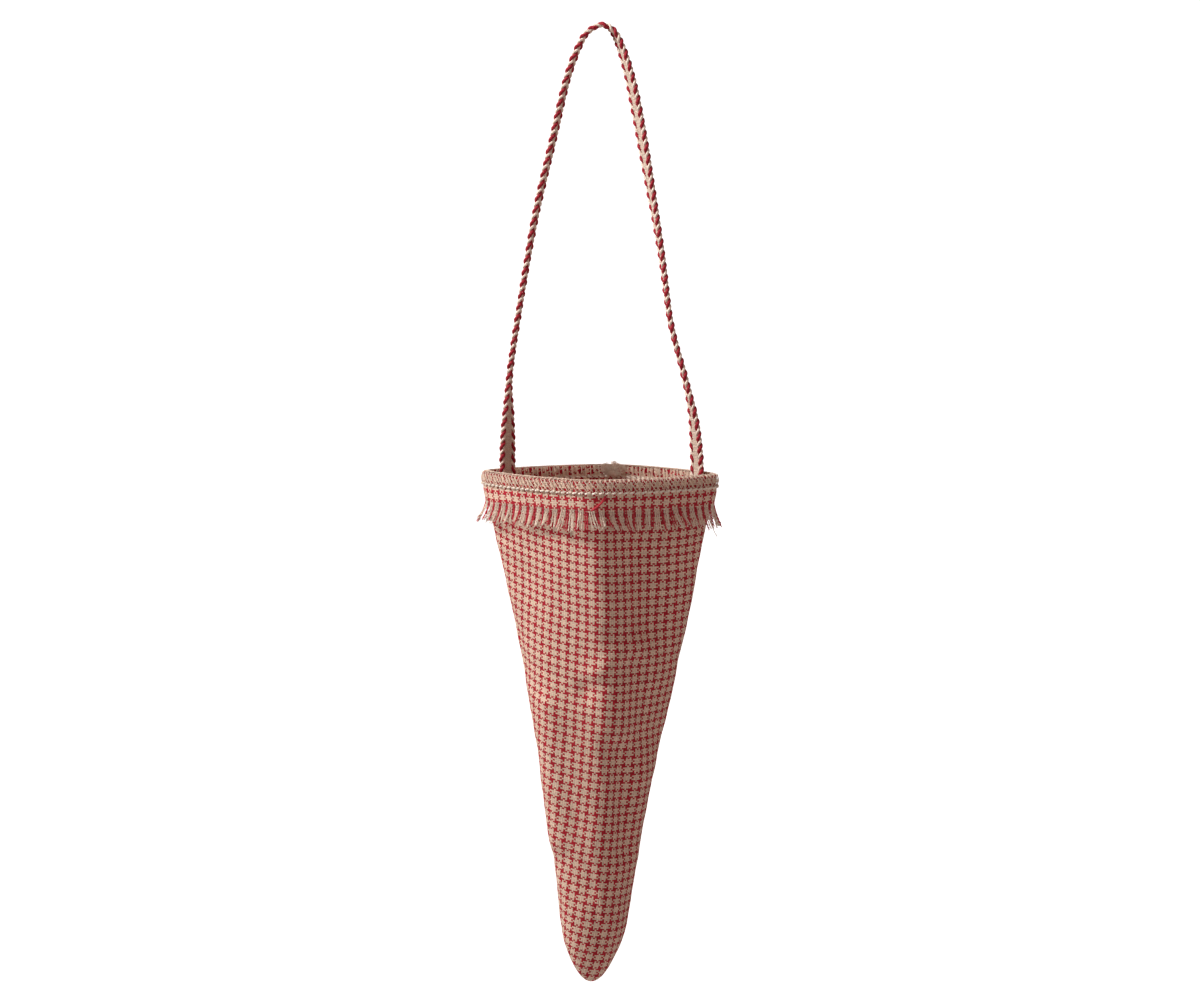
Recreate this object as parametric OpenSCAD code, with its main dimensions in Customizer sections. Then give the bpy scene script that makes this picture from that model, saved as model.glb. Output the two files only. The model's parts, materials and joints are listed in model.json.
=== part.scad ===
// Hanging cone-shaped gift sack of checked cloth, with a frayed cuff and a braided handle.
// The origin is the underside of the top of the handle, where a hook or a peg holds it.
// +Z is up, -Y is the front, and the handle's two ends lie on the X axis under the origin.

/* [Sack] */
// Width of the mouth from corner to corner, outside the cone's cloth
mouth_width = 101; // [80:1:130]
// Depth of the open mouth from front to back, outside the cone's cloth
mouth_depth = 68; // [50:1:90]
// Length of the cone from the rim to the tip
sack_length = 226; // [160:1:280]
// Thickness of the woven cloth
cloth = 0.7; // [0.5:0.1:1.2]
// How far the middle of the mouth stands in front of the handle's ends
mouth_forward = 6; // [4.5:0.5:9]
// How far the tip hangs to one side
tip_shift = -4.5; // [-10:0.5:10]
// Width of the seam allowance down the inside of the back
seam_width = 6; // [4:0.5:8]

/* [Cuff] */
// Height of the woven part of the cuff
cuff_height = 12.5; // [11:0.5:25]
// Length of the frayed threads below the cuff's weave
fringe_length = 8; // [5:0.5:15]
// Width of one repeat of the check: one red and one natural tuft
check_repeat = 4.4; // [3.8:0.1:6]
// Outward tilt of the frayed threads
fringe_tilt = 14; // [5:1:30]

/* [Stitching] */
// Height of the overlock stitching at the rim
overlock_height = 4.6; // [4:0.1:8]
// Thickness of the layer of overlock thread
overlock_layer = 1; // [0.6:0.1:1.4]
// Length of one top stitch
stitch_length = 2.7; // [2:0.1:4]
// Diameter of the stitching thread
thread = 0.5; // [0.3:0.05:0.7]

/* [Handle] */
// Height from the rim up to the hook or peg
handle_drop = 192; // [140:1:260]
// Width of the flat tape in the middle of the braid
tape_width = 4; // [3:0.1:6]
// Thickness of the tape
tape_thickness = 1.2; // [0.8:0.1:1.8]
// Diameter of the twisted cord along each edge of the tape
cord_diameter = 1.9; // [1.4:0.1:2.6]
// Length of each handle end that is sewn inside the mouth
handle_tuck = 12; // [9.5:0.5:18]

/* [Hidden] */

red = "#b3202f";
natural = "#c9b79c";
cream = "#e8dcc6";

// Free gap between soft pieces that lie on each other
gap = 0.15;
// Sides around the mouth, and where the straight cone meets the rounded tip
around = 64;
tip_start = 0.86;
// Sharpness of the section's corners: 1 is an ellipse and 2 is a diamond
rim_sharpness = 1.6;
tip_sharpness = 1.15;
// Depth of the section as a share of its width, at the tip
tip_depth_share = 0.82;

rim_z = -handle_drop;
half_width = mouth_width / 2;
mouth_depth_share = mouth_depth / mouth_width;
cuff_inner = gap;
cuff_outer = cuff_inner + cloth;
overlock_outer = cuff_outer + gap;
overlock_inner = -cloth - gap;
topstitch_z = rim_z - overlock_height - gap - thread / 2;

cord_radius = cord_diameter / 2;
cord_offset = tape_width / 2 + cord_radius;
braid_half_width = cord_offset + cord_radius;
// The braid bends over a round end of this radius, which clears the rim at every angle
swing_radius = braid_half_width + 0.1;
overlock_top = rim_z + gap + overlock_layer;
swing_clearance = 0.4;
hinge_z = overlock_top + swing_clearance + swing_radius;
// The handle's ends lie on the inner face of the overlock, flat against the wall
end_inset = overlock_inner - overlock_layer - gap - cord_radius;

function spow(v, p) = sign(v) * pow(abs(v), p);
function mix(a, b, t) = a + (b - a) * t;

// The wall stands straight behind the overlock, and keeps the mouth's section behind the cuff
straight_share = (overlock_height + 3) / sack_length;
cuff_share = (cuff_height + fringe_length) / sack_length;
function past_cuff(t) = max(0, t - cuff_share) / (1 - cuff_share);

// Half the cone's width at a share t of its length, as a share of half the mouth
function taper(t) = let (u = max(0, t - straight_share)) 1 - 1.09 * u + 0.31 * u * u;
function tip_round(t) = t < tip_start ? 1 : sqrt(max(0, 1 - pow((t - tip_start) / (1 - tip_start), 2)));
function sharpness(t) = mix(rim_sharpness, tip_sharpness, past_cuff(t));
function depth_share(t) = mix(mouth_depth_share, tip_depth_share, past_cuff(t));
function half_at(t) = half_width * taper(t) * tip_round(t);
function shift_at(t) = [tip_shift * t * t, -mouth_forward];

// A point of the section at share t, moved out from the cone's outer face by out
function wall_point(t, out, a) =
    let (w = max(0.01, half_at(t) + out), d = max(0.01, half_at(t) * depth_share(t) + out), m = sharpness(t))
    [w * spow(cos(a), m), d * spow(sin(a), m)] + shift_at(t);
// The same at the back wall, by the distance across from the back seam
function back_point(t, out, across) =
    let (w = half_at(t) + out, d = half_at(t) * depth_share(t) + out, n = 2 / sharpness(t))
    [across, d * pow(1 - pow(min(1, abs(across) / w), n), 1 / n)] + shift_at(t);
function wall_tangent(out, a) = wall_point(0, out, a + 1) - wall_point(0, out, a - 1);

// Places evenly spaced along the rim: [distance, angle] pairs, for lookup()
rim_steps = 360;
function rim_table(out, i = 0, run = 0) =
    i > rim_steps ? [] :
    concat([[run, i]], rim_table(out, i + 1, run + norm(wall_point(0, out, i + 1) - wall_point(0, out, i))));
cuff_table = rim_table(cuff_outer);
rim_length = cuff_table[rim_steps][0];
function rim_angle(share) = lookup(share * rim_length, cuff_table);

// Faces of a band whose last ring joins its first, and of a tube with capped ends
function band_faces(rings, n) =
    [for (r = [0 : rings - 1], k = [0 : n - 1])
         let (s = (r + 1) % rings, j = (k + 1) % n) [r * n + k, r * n + j, s * n + j, s * n + k]];
function tube_faces(rings, n) =
    let (last = (rings - 1) * n)
    concat([for (r = [0 : rings - 2], k = [0 : n - 1])
                let (s = r + 1, j = (k + 1) % n) [r * n + k, s * n + k, s * n + j, r * n + j]],
           [[for (k = [0 : n - 1]) k]],
           [[for (k = [n - 1 : -1 : 0]) last + k]]);

// A solid through rings of n points each, every ring counterclockwise about the way along
module tube(rings) {
    polyhedron([for (ring = rings, p = ring) p], tube_faces(len(rings), len(rings[0])), convexity = 6);
}

// A band round the mouth: profile holds [out, z] points
module rim_band(profile) {
    points = [for (i = [0 : around - 1], q = profile)
                  let (p = wall_point(0, q.x, 360 * i / around)) [p.x, p.y, q.y]];
    polyhedron(points, band_faces(around, len(profile)), convexity = 6);
}

// ---- the cone ----
body_rings = 16;
tip_rings = 7;
ring_shares = concat([0], [for (i = [0 : body_rings]) mix(straight_share, tip_start, i / body_rings)],
                     [for (i = [1 : tip_rings - 1]) mix(tip_start, 1, sin(90 * i / tip_rings))]);

module cone_wall() {
    rings = len(ring_shares);
    outer = [for (t = ring_shares, i = [0 : around - 1])
                 let (p = wall_point(t, 0, 360 * i / around)) [p.x, p.y, rim_z - t * sack_length]];
    inner = [for (t = ring_shares, i = [0 : around - 1])
                 let (p = wall_point(t, -cloth, 360 * i / around))
                 [p.x, p.y, rim_z - t * (sack_length - cloth)]];
    tips = [[tip_shift, -mouth_forward, rim_z - sack_length],
            [tip_shift, -mouth_forward, rim_z - sack_length + cloth]];
    first = len(outer);
    tip = 2 * first;
    last = (rings - 1) * around;
    walls = [for (r = [0 : rings - 2], k = [0 : around - 1])
                 let (j = (k + 1) % around) [r * around + k, r * around + j, (r + 1) * around + j, (r + 1) * around + k]];
    function flipped(f) = [for (i = [len(f) - 1 : -1 : 0]) f[i]];
    color(natural)
    polyhedron(concat(outer, inner, tips),
               concat(walls, [for (f = walls) flipped([for (v = f) v + first])],
                      [for (k = [0 : around - 1]) let (j = (k + 1) % around) [k, first + k, first + j, j]],
                      [for (k = [0 : around - 1]) let (j = (k + 1) % around) [last + k, last + j, tip]],
                      [for (k = [0 : around - 1])
                           let (j = (k + 1) % around) [first + last + j, first + last + k, tip + 1]]),
               convexity = 6);
}

// ---- the seam down the inside of the back ----
seam_rings = 14;
seam_top = (overlock_height + 2) / sack_length;
seam_end = 0.8;
seam_thickness = 2 * cloth;
function seam_share(i) = mix(seam_top, seam_end, i / seam_rings);
function seam_z(t) = rim_z - t * (sack_length - cloth);
function seam_spot(t, depth, across) =
    let (p = back_point(t, -cloth - gap - depth, across)) [p.x, p.y, seam_z(t)];

module back_seam_allowance() {
    color(natural)
    tube([for (i = [0 : seam_rings])
              let (t = seam_share(i))
              concat([for (k = [0 : 3]) seam_spot(t, 0, seam_width * k / 3)],
                     [for (k = [3 : -1 : 0]) seam_spot(t, seam_thickness, seam_width * k / 3)])]);
}

module back_seam_overlock() {
    edge_start = seam_width + gap;
    edge_end = edge_start + overlock_layer;
    color(cream)
    tube([for (i = [0 : seam_rings])
              let (t = seam_share(i))
              [seam_spot(t, 0, edge_start), seam_spot(t, 0, edge_end),
               seam_spot(t, seam_thickness, edge_end), seam_spot(t, seam_thickness, edge_start)]]);
}

// ---- the cuff ----
module cuff_band() {
    color(natural)
    rim_band([[cuff_inner, rim_z], [cuff_inner, rim_z - cuff_height],
              [cuff_outer, rim_z - cuff_height], [cuff_outer, rim_z]]);
}

repeats = floor(rim_length / check_repeat);
red_share = 0.4;
// Widths of the tufts as shares of one repeat
red_tuft = 0.35;
natural_tuft = 0.51;

// One tuft of threads at each repeat of the check, spread along the rim and flared outward
module fringe(offset_share, width_share) {
    top = rim_z - cuff_height - gap;
    low = top - fringe_length * cos(fringe_tilt);
    flare = fringe_length * sin(fringe_tilt);
    step = 360 / around;
    for (i = [0 : repeats - 1]) {
        first = rim_angle((i + offset_share - width_share / 2) / repeats);
        last = rim_angle((i + offset_share + width_share / 2) / repeats);
        inside = [for (k = [0 : around]) if (k * step > first + 0.05 && k * step < last - 0.05) k * step];
        tube([for (a = concat([first], inside, [last]))
                  [for (q = [[cuff_inner, top], [cuff_outer, top], [cuff_outer + flare, low], [cuff_inner + flare, low]])
                       let (p = wall_point(0, q.x, a)) [p.x, p.y, q.y]]]);
    }
}

module fringe_red() {
    color(red)
    fringe(red_share / 2, red_tuft);
}

module fringe_natural() {
    color(natural)
    fringe(red_share + (1 - red_share) / 2, natural_tuft);
}

// ---- the stitching at the rim ----
module rim_overlock_outer() {
    color(natural)
    rim_band([[overlock_outer, rim_z], [overlock_outer, rim_z - overlock_height],
              [overlock_outer + overlock_layer, rim_z - overlock_height], [overlock_outer + overlock_layer, rim_z]]);
}

module rim_overlock_inner() {
    color(natural)
    rim_band([[overlock_inner - overlock_layer, rim_z], [overlock_inner - overlock_layer, rim_z - overlock_height],
              [overlock_inner, rim_z - overlock_height], [overlock_inner, rim_z]]);
}

module rim_overlock_edge() {
    edge_low = rim_z + gap;
    edge_high = overlock_top;
    color(natural)
    rim_band([[overlock_inner - overlock_layer, edge_low], [overlock_outer + overlock_layer, edge_low],
              [overlock_outer + overlock_layer / 2, edge_high], [overlock_inner - overlock_layer / 2, edge_high]]);
}

stitches = floor(rim_length / stitch_length);
stitch_gap = 0.7;

// A stitch at a place of the section, lying along it
module stitch(out, a) {
    along = wall_tangent(out, a);
    spot = wall_point(0, out, a);
    long = rim_length / stitches - stitch_gap;
    translate([spot.x, spot.y, topstitch_z])
    rotate([0, 0, atan2(along.y, along.x)])
    rotate([0, 90, 0])
    cylinder(d = thread, h = long, center = true, $fn = 16);
}

module rim_topstitch() {
    color(cream)
    for (i = [0 : stitches - 1])
        stitch(cuff_outer + thread / 2 + gap / 2, rim_angle(i / stitches));
}

// True where a handle end covers the wall
function under_handle(out, a) =
    let (p = wall_point(0, out, a)) norm([abs(p.x) - handle_half, p.y]) < braid_half_width + stitch_length;

// On the inside of the wall a stitch is a chord, from one needle hole to the next
module rim_bobbin_stitch() {
    out = -cloth - thread / 2 - gap;
    half = 0.5 - stitch_gap / 2 / stitch_length;
    color(cream)
    for (i = [1 : stitches - 1])
        if (!under_handle(out, rim_angle(i / stitches))) {
            from = wall_point(0, out, rim_angle((i - half) / stitches));
            to = wall_point(0, out, rim_angle((i + half) / stitches));
            translate([from.x, from.y, topstitch_z])
            rotate([0, 0, atan2(to.y - from.y, to.x - from.x)])
            rotate([0, 90, 0])
            cylinder(d = thread, h = norm(to - from), $fn = 16);
        }
}

// The loose end of the overlock thread, which lies along the rim at the back seam
tail_length = 16;
tail_radius = 0.7;
tail_sides = 8;
tail_rings = 10;
module overlock_tail() {
    color(cream)
    tube([for (i = [0 : tail_rings])
              let (s = i / tail_rings, across = tail_length * (s - 0.5), p = back_point(0, cuff_outer, across),
                   fat = tail_radius * (0.45 + 0.55 * sin(180 * s)))
              [for (k = [0 : tail_sides - 1])
                   [p.x, p.y + fat * cos(360 * k / tail_sides),
                    overlock_top + gap + tail_radius + fat * sin(360 * k / tail_sides)]]]);
}

// ---- the handle ----
// Where the back wall's inner side crosses the X axis, and the wall's direction there
function crossing(out, low = 0, high = 90, turns = 30) =
    let (mid = (low + high) / 2)
    turns == 0 ? mid :
    wall_point(0, out, mid).y < 0 ? crossing(out, mid, high, turns - 1) : crossing(out, low, mid, turns - 1);
end_angle = crossing(end_inset);
// The braid is a flat chord across the curved wall, so it stands this much further in
chord_reach = 8;
chord_inset = 0.6;
end_along = wall_point(0, end_inset, end_angle + chord_reach) - wall_point(0, end_inset, end_angle - chord_reach);
right_turn = atan2(end_along.y, end_along.x);
left_turn = 180 - right_turn;
handle_half = wall_point(0, end_inset, end_angle).x - chord_inset;

// The route of each leg: [share of the half spread, share of the height above the hinge]
left_leg = [[1, 0], [0.99, 0.1], [0.97, 0.2], [0.86, 0.36], [0.7, 0.56], [0.51, 0.74], [0.36, 0.88],
            [0.21, 0.965], [0.1, 0.992]];
right_leg = [[0.09, 0.992], [0.17, 0.965], [0.27, 0.9], [0.36, 0.81], [0.49, 0.65], [0.62, 0.48], [0.72, 0.32],
             [0.86, 0.2], [0.96, 0.1], [1, 0]];
hook_height = cord_radius - hinge_z;
route = concat([for (p = left_leg) [-p.x * handle_half, 0, hinge_z + p.y * hook_height]],
               [[0, 0, cord_radius]],
               [for (p = right_leg) [p.x * handle_half, 0, hinge_z + p.y * hook_height]]);
// Turn of the braid's width from the X axis, by share of the way along the route
turns = [[0, left_turn], [0.03, left_turn], [0.1, 92], [0.16, 92], [0.24, 80], [0.32, 84], [0.4, 96], [0.5, 100],
         [0.58, 126], [0.68, 132], [0.78, 108], [0.88, 102], [0.97, right_turn], [1, right_turn]];

function spline(a, b, c, d, u) =
    0.5 * ((2 * b) + (c - a) * u + (2 * a - 5 * b + 4 * c - d) * u * u + (3 * b - a - 3 * c + d) * u * u * u);
route_last = len(route) - 1;
function along_route(s) =
    let (i = min(route_last - 1, floor(s * route_last)), u = s * route_last - i)
    spline(i == 0 ? 2 * route[0] - route[1] : route[i - 1], route[i], route[i + 1],
           i + 2 > route_last ? 2 * route[route_last] - route[route_last - 1] : route[i + 2], u);
function unit(v) = v / norm(v);
function braid_frame(s) =
    let (step = 0.002, t = unit(along_route(min(1, s + step)) - along_route(max(0, s - step))),
         a = lookup(s, turns), flat = [cos(a), sin(a), 0], w = unit(flat - t * (flat * t)))
    [w, cross(t, w)];

braid_rings = 72;
// The free part of the braid starts above its round ends
braid_start = 0.018;
module braid_part(offset_w, half_w, half_n, sides) {
    tube([for (i = [0 : braid_rings])
              let (s = mix(braid_start, 1 - braid_start, i / braid_rings), f = braid_frame(s), c = along_route(s))
              [for (k = [0 : sides - 1])
                   let (a = 360 * (k + 0.5) / sides, fit = 1 / cos(180 / sides))
                   c + f[0] * (offset_w + half_w * fit * cos(a)) + f[1] * half_n * fit * sin(a)]]);
}

// A round end about the hinge line: what it holds is cut to a disc that turns freely over the rim
module round_end(side) {
    top = 5;
    translate([side * handle_half, 0, hinge_z])
    intersection() {
        rotate([0, 0, side < 0 ? left_turn : right_turn])
        translate([0, 0, -swing_radius])
        children();
        union() {
            rotate([0, 90, 0])
            cylinder(r = swing_radius, h = 4 * braid_half_width, center = true, $fn = 64);
            translate([-2 * braid_half_width, -2 * braid_half_width, 0])
            cube([4 * braid_half_width, 4 * braid_half_width, top]);
        }
    }
}

end_height = 2 * swing_radius + 4;

module handle_tape() {
    color(natural) {
        braid_part(0, tape_width / 2 - gap / 2, tape_thickness / 2, 4);
        for (side = [-1, 1])
            round_end(side)
            translate([gap / 2 - tape_width / 2, -tape_thickness / 2, 0])
            cube([tape_width - gap, tape_thickness, end_height]);
    }
}

module edge_cord(edge) {
    braid_part(edge * cord_offset, cord_radius * cos(22.5), cord_radius * cos(22.5), 8);
    for (side = [-1, 1])
        round_end(side)
        translate([edge * cord_offset, 0, 0])
        cylinder(r = cord_radius, h = end_height, $fn = 24);
}

module handle_front_cord() {
    color(red)
    edge_cord(-1);
}

module handle_back_cord() {
    color(red)
    edge_cord(1);
}

// The sewn ends: flat against the inside of the mouth, below the place where the braid bends
module sewn_end(side) {
    translate([side * handle_half, 0, rim_z - handle_tuck])
    rotate([0, 0, side < 0 ? left_turn : right_turn])
    children();
}

module tape_end(side) {
    color(natural)
    sewn_end(side)
    translate([gap / 2 - tape_width / 2, -tape_thickness / 2, 0])
    cube([tape_width - gap, tape_thickness, handle_tuck + gap + overlock_layer]);
}

module cord_ends(side) {
    color(red)
    sewn_end(side)
    for (edge = [-1, 1])
        translate([edge * cord_offset, 0, 0])
        cylinder(r = cord_radius, h = handle_tuck + gap + overlock_layer, $fn = 24);
}

module left_tape_end() { tape_end(-1); }
module right_tape_end() { tape_end(1); }
module left_cord_ends() { cord_ends(-1); }
module right_cord_ends() { cord_ends(1); }

// The row of stitches where it crosses the inner face of each sewn end
end_stitches = 2;
module handle_end_stitches() {
    pitch = tape_width / end_stitches;
    color(cream)
    for (side = [-1, 1], i = [0 : end_stitches - 1])
        translate([side * handle_half, 0, topstitch_z])
        rotate([0, 0, side < 0 ? left_turn : right_turn])
        translate([pitch * (i - (end_stitches - 1) / 2), side * (tape_thickness / 2 + thread / 2 + gap / 2), 0])
        rotate([0, 90, 0])
        cylinder(d = thread, h = pitch - stitch_gap / 2, center = true, $fn = 16);
}

cone_wall();
back_seam_allowance();
back_seam_overlock();
cuff_band();
fringe_red();
fringe_natural();
rim_overlock_outer();
rim_overlock_inner();
rim_overlock_edge();
rim_topstitch();
rim_bobbin_stitch();
overlock_tail();
left_tape_end();
right_tape_end();
left_cord_ends();
right_cord_ends();
handle_end_stitches();
handle_tape();
handle_front_cord();
handle_back_cord();
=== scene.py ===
"""Hanging cone-shaped gift sack of checked cloth, with a frayed cuff and a braided handle.

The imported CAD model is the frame. Every soft CAD solid is replaced by cloth, yarn and thread
of the same size in the same place, in metres, with +Z up and the front towards -Y.
"""

import json
import logging
import math
from dataclasses import dataclass, field
from enum import Enum

import bpy
import numpy as np
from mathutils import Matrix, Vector


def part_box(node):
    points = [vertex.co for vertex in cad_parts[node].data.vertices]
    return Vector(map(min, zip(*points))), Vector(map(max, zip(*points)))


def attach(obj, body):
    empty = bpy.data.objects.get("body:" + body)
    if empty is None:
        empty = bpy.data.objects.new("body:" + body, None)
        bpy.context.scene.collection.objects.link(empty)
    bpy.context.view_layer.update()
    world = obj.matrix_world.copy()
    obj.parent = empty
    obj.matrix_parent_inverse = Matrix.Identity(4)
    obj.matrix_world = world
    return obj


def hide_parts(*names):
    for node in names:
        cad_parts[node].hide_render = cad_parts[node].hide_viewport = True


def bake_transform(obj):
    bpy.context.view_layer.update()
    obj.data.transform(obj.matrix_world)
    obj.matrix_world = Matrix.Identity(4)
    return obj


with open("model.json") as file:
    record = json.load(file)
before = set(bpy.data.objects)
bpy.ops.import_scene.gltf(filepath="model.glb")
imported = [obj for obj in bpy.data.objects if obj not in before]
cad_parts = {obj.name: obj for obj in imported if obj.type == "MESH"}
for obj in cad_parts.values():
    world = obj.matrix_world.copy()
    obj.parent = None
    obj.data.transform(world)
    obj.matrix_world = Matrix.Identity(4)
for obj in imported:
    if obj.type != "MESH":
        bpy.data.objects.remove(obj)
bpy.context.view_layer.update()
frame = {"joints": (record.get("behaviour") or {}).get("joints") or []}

MM = 0.001
GIRTH = 252
TURN = 2 * math.pi
PLIES = (0.0, math.pi)
Array = np.ndarray
log = logging.getLogger("gift_sack")


class Body(Enum):
    """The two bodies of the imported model."""

    HANDLE = "handle"
    SACK = "sack"


class Twist(Enum):
    """The way a cord's plies wind about each other."""

    Z = 1.0
    S = -1.0


# ---------------------------------------------------------------- small maths


def smooth(edge0: float, edge1: float, x: Array) -> Array:
    """Smooth step of x from 0 at edge0 to 1 at edge1."""
    t = np.clip((x - edge0) / (edge1 - edge0), 0.0, 1.0)
    return t * t * (3.0 - 2.0 * t)


def signed_power(v: Array, p: Array) -> Array:
    """The power of a number's size, with its sign kept."""
    return np.sign(v) * np.abs(v) ** p


def unit(v: Array) -> Array:
    """Vectors along the last axis, scaled to length 1."""
    return v / np.maximum(np.linalg.norm(v, axis=-1, keepdims=True), 1e-12)


def run_along(paths: Array) -> Array:
    """Lengths from each path's start to each of its points (..., points, axes)."""
    return np.cumsum(np.linalg.norm(np.diff(paths, axis=-2, prepend=paths[..., :1, :]), axis=-1), axis=-1)


def wave_noise(x: Array, seed: int, scale: float, octaves: int = 4) -> Array:
    """Smooth repeatable noise between about -1 and 1.

    Args:
        x: places along a line.
        seed: picks the pattern.
        scale: length of the longest wave, in the unit of x.
        octaves: how many finer waves are added.

    Returns:
        One value for each place.
    """
    rng = np.random.default_rng(seed)
    total = np.zeros_like(x, dtype=float)
    for i in range(octaves):
        length = scale / 1.9**i
        total += np.sin(TURN * x / length + rng.uniform(0, 6.28)) * 0.6**i
    return total / 1.6


def bump(x: Array, middle: float, width: float) -> Array:
    """A smooth bump of height 1 round a middle."""
    return np.exp(-0.5 * ((x - middle) / width) ** 2)


def rotate_2d(p: Array, angle: Array) -> Array:
    """Points (..., 2) turned counterclockwise by an angle in radians."""
    c, s = np.cos(angle), np.sin(angle)
    return np.stack([p[..., 0] * c - p[..., 1] * s, p[..., 0] * s + p[..., 1] * c], axis=-1)


# ---------------------------------------------------------------- meshes


def make_mesh(name: str, verts: Array, faces: list[Array], uvs: list[Array]) -> bpy.types.Object:
    """Makes a smooth-shaded mesh object.

    Args:
        name: the piece's name.
        verts: vertex places, (n, 3), in metres.
        faces: arrays of vertex numbers, each (faces, corners).
        uvs: for each array of faces, its corners' coordinates, (faces, corners, 2).

    Returns:
        The object, linked to the scene.
    """
    mesh = bpy.data.meshes.new(name)
    mesh.vertices.add(len(verts))
    mesh.vertices.foreach_set("co", np.ascontiguousarray(verts, dtype=np.float32).ravel())
    loops = np.concatenate([f.ravel() for f in faces])
    sizes = np.concatenate([np.full(len(f), f.shape[1]) for f in faces])
    starts = np.concatenate([[0], np.cumsum(sizes)[:-1]])
    mesh.loops.add(len(loops))
    mesh.loops.foreach_set("vertex_index", loops.astype(np.int32))
    mesh.polygons.add(len(sizes))
    mesh.polygons.foreach_set("loop_start", starts.astype(np.int32))
    mesh.polygons.foreach_set("use_smooth", np.ones(len(sizes), dtype=bool))
    layer = mesh.uv_layers.new(name="cloth")
    layer.data.foreach_set("uv", np.concatenate([u.reshape(-1, 2) for u in uvs]).astype(np.float32).ravel())
    mesh.update(calc_edges=True)
    mesh.validate()
    obj = bpy.data.objects.new(name, mesh)
    bpy.context.scene.collection.objects.link(obj)
    return obj


def path_frames(paths: Array, start: Array) -> tuple[Array, Array]:
    """Carries a direction along paths without twisting it.

    Args:
        paths: places along each path, (paths, points, 3).
        start: a direction for the start of each path, (paths, 3).

    Returns:
        Two directions across each path at each place, (paths, points, 3) each.
    """
    tangents = unit(np.gradient(paths, axis=1))
    side = np.empty_like(paths)
    a = start - tangents[:, 0] * np.sum(start * tangents[:, 0], axis=-1, keepdims=True)
    side[:, 0] = unit(a)
    for i in range(1, paths.shape[1]):
        a = side[:, i - 1]
        a = a - tangents[:, i] * np.sum(a * tangents[:, i], axis=-1, keepdims=True)
        side[:, i] = unit(a)
    return side, np.cross(tangents, side)


def make_tubes(name: str, paths: Array, radii: Array, sides: int = 6) -> bpy.types.Object:
    """Makes closed round threads along paths, all in one mesh.

    Args:
        name: the piece's name.
        paths: places along each thread, (threads, points, 3), in metres.
        radii: the thread's radius at each place, (threads, points).
        sides: corners of a thread's section.

    Returns:
        The object. Its coordinates are millimetres along each thread, and the share of the way round.
    """
    n, m, _ = paths.shape
    tangents = unit(paths[:, 1] - paths[:, 0])
    start = np.cross(tangents, np.array([0.31, 0.52, 0.79]))
    a, b = path_frames(paths, start)
    turn = TURN * np.arange(sides) / sides
    ring = (a[:, :, None] * np.cos(turn)[:, None] + b[:, :, None] * np.sin(turn)[:, None])
    verts = (paths[:, :, None] + ring * radii[:, :, None, None]).reshape(-1, 3)
    along = run_along(paths) / MM
    base = (np.arange(n) * m * sides)[:, None, None]
    ring_no = np.arange(m - 1)[None, :, None] * sides
    k = np.arange(sides)[None, None, :]
    j = (k + 1) % sides
    quads = np.stack([base + ring_no + k, base + ring_no + j,
                      base + ring_no + sides + j, base + ring_no + sides + k], axis=-1).reshape(-1, 4)
    u = np.broadcast_to(along[:, :, None], (n, m, sides))
    v = np.broadcast_to(k / sides, (n, m - 1, sides))
    corners = ((u[:, :-1], v), (u[:, :-1], v + 1 / sides), (u[:, 1:], v + 1 / sides), (u[:, 1:], v))
    quad_uv = np.stack([np.stack(corner, -1) for corner in corners], axis=-2).reshape(-1, 4, 2)
    first = (base[:, 0] + np.arange(sides)[None, ::-1]).reshape(n, sides)
    last = (base[:, 0] + (m - 1) * sides + np.arange(sides)[None, :]).reshape(n, sides)
    caps = np.concatenate([first, last])
    cap_uv = np.zeros((2 * n, sides, 2))
    cap_uv[n:, :, 0] = along[:, -1][:, None]
    return make_mesh(name, verts, [quads, caps], [quad_uv, cap_uv])


def grid_faces(rows: int, columns: int, first: int, flip: bool) -> Array:
    """Quads of a grid that is closed round its columns.

    Args:
        rows: rows of vertices.
        columns: vertices in a row.
        first: number of the grid's first vertex.
        flip: turns the faces over.

    Returns:
        Vertex numbers, (faces, 4).
    """
    r = np.arange(rows - 1)[:, None] * columns
    k = np.arange(columns)[None, :]
    j = (k + 1) % columns
    quads = np.stack([r + k, r + columns + k, r + columns + j, r + j], axis=-1).reshape(-1, 4) + first
    return quads[:, ::-1] if flip else quads


def grid_uv(uv: Array, flip: bool) -> Array:
    """Corner coordinates to go with grid_faces, from a grid (rows, columns + 1, 2)."""
    quads = np.stack([uv[:-1, :-1], uv[1:, :-1], uv[1:, 1:], uv[:-1, 1:]], axis=-2).reshape(-1, 4, 2)
    return quads[:, ::-1] if flip else quads


# ---------------------------------------------------------------- node groups


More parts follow.
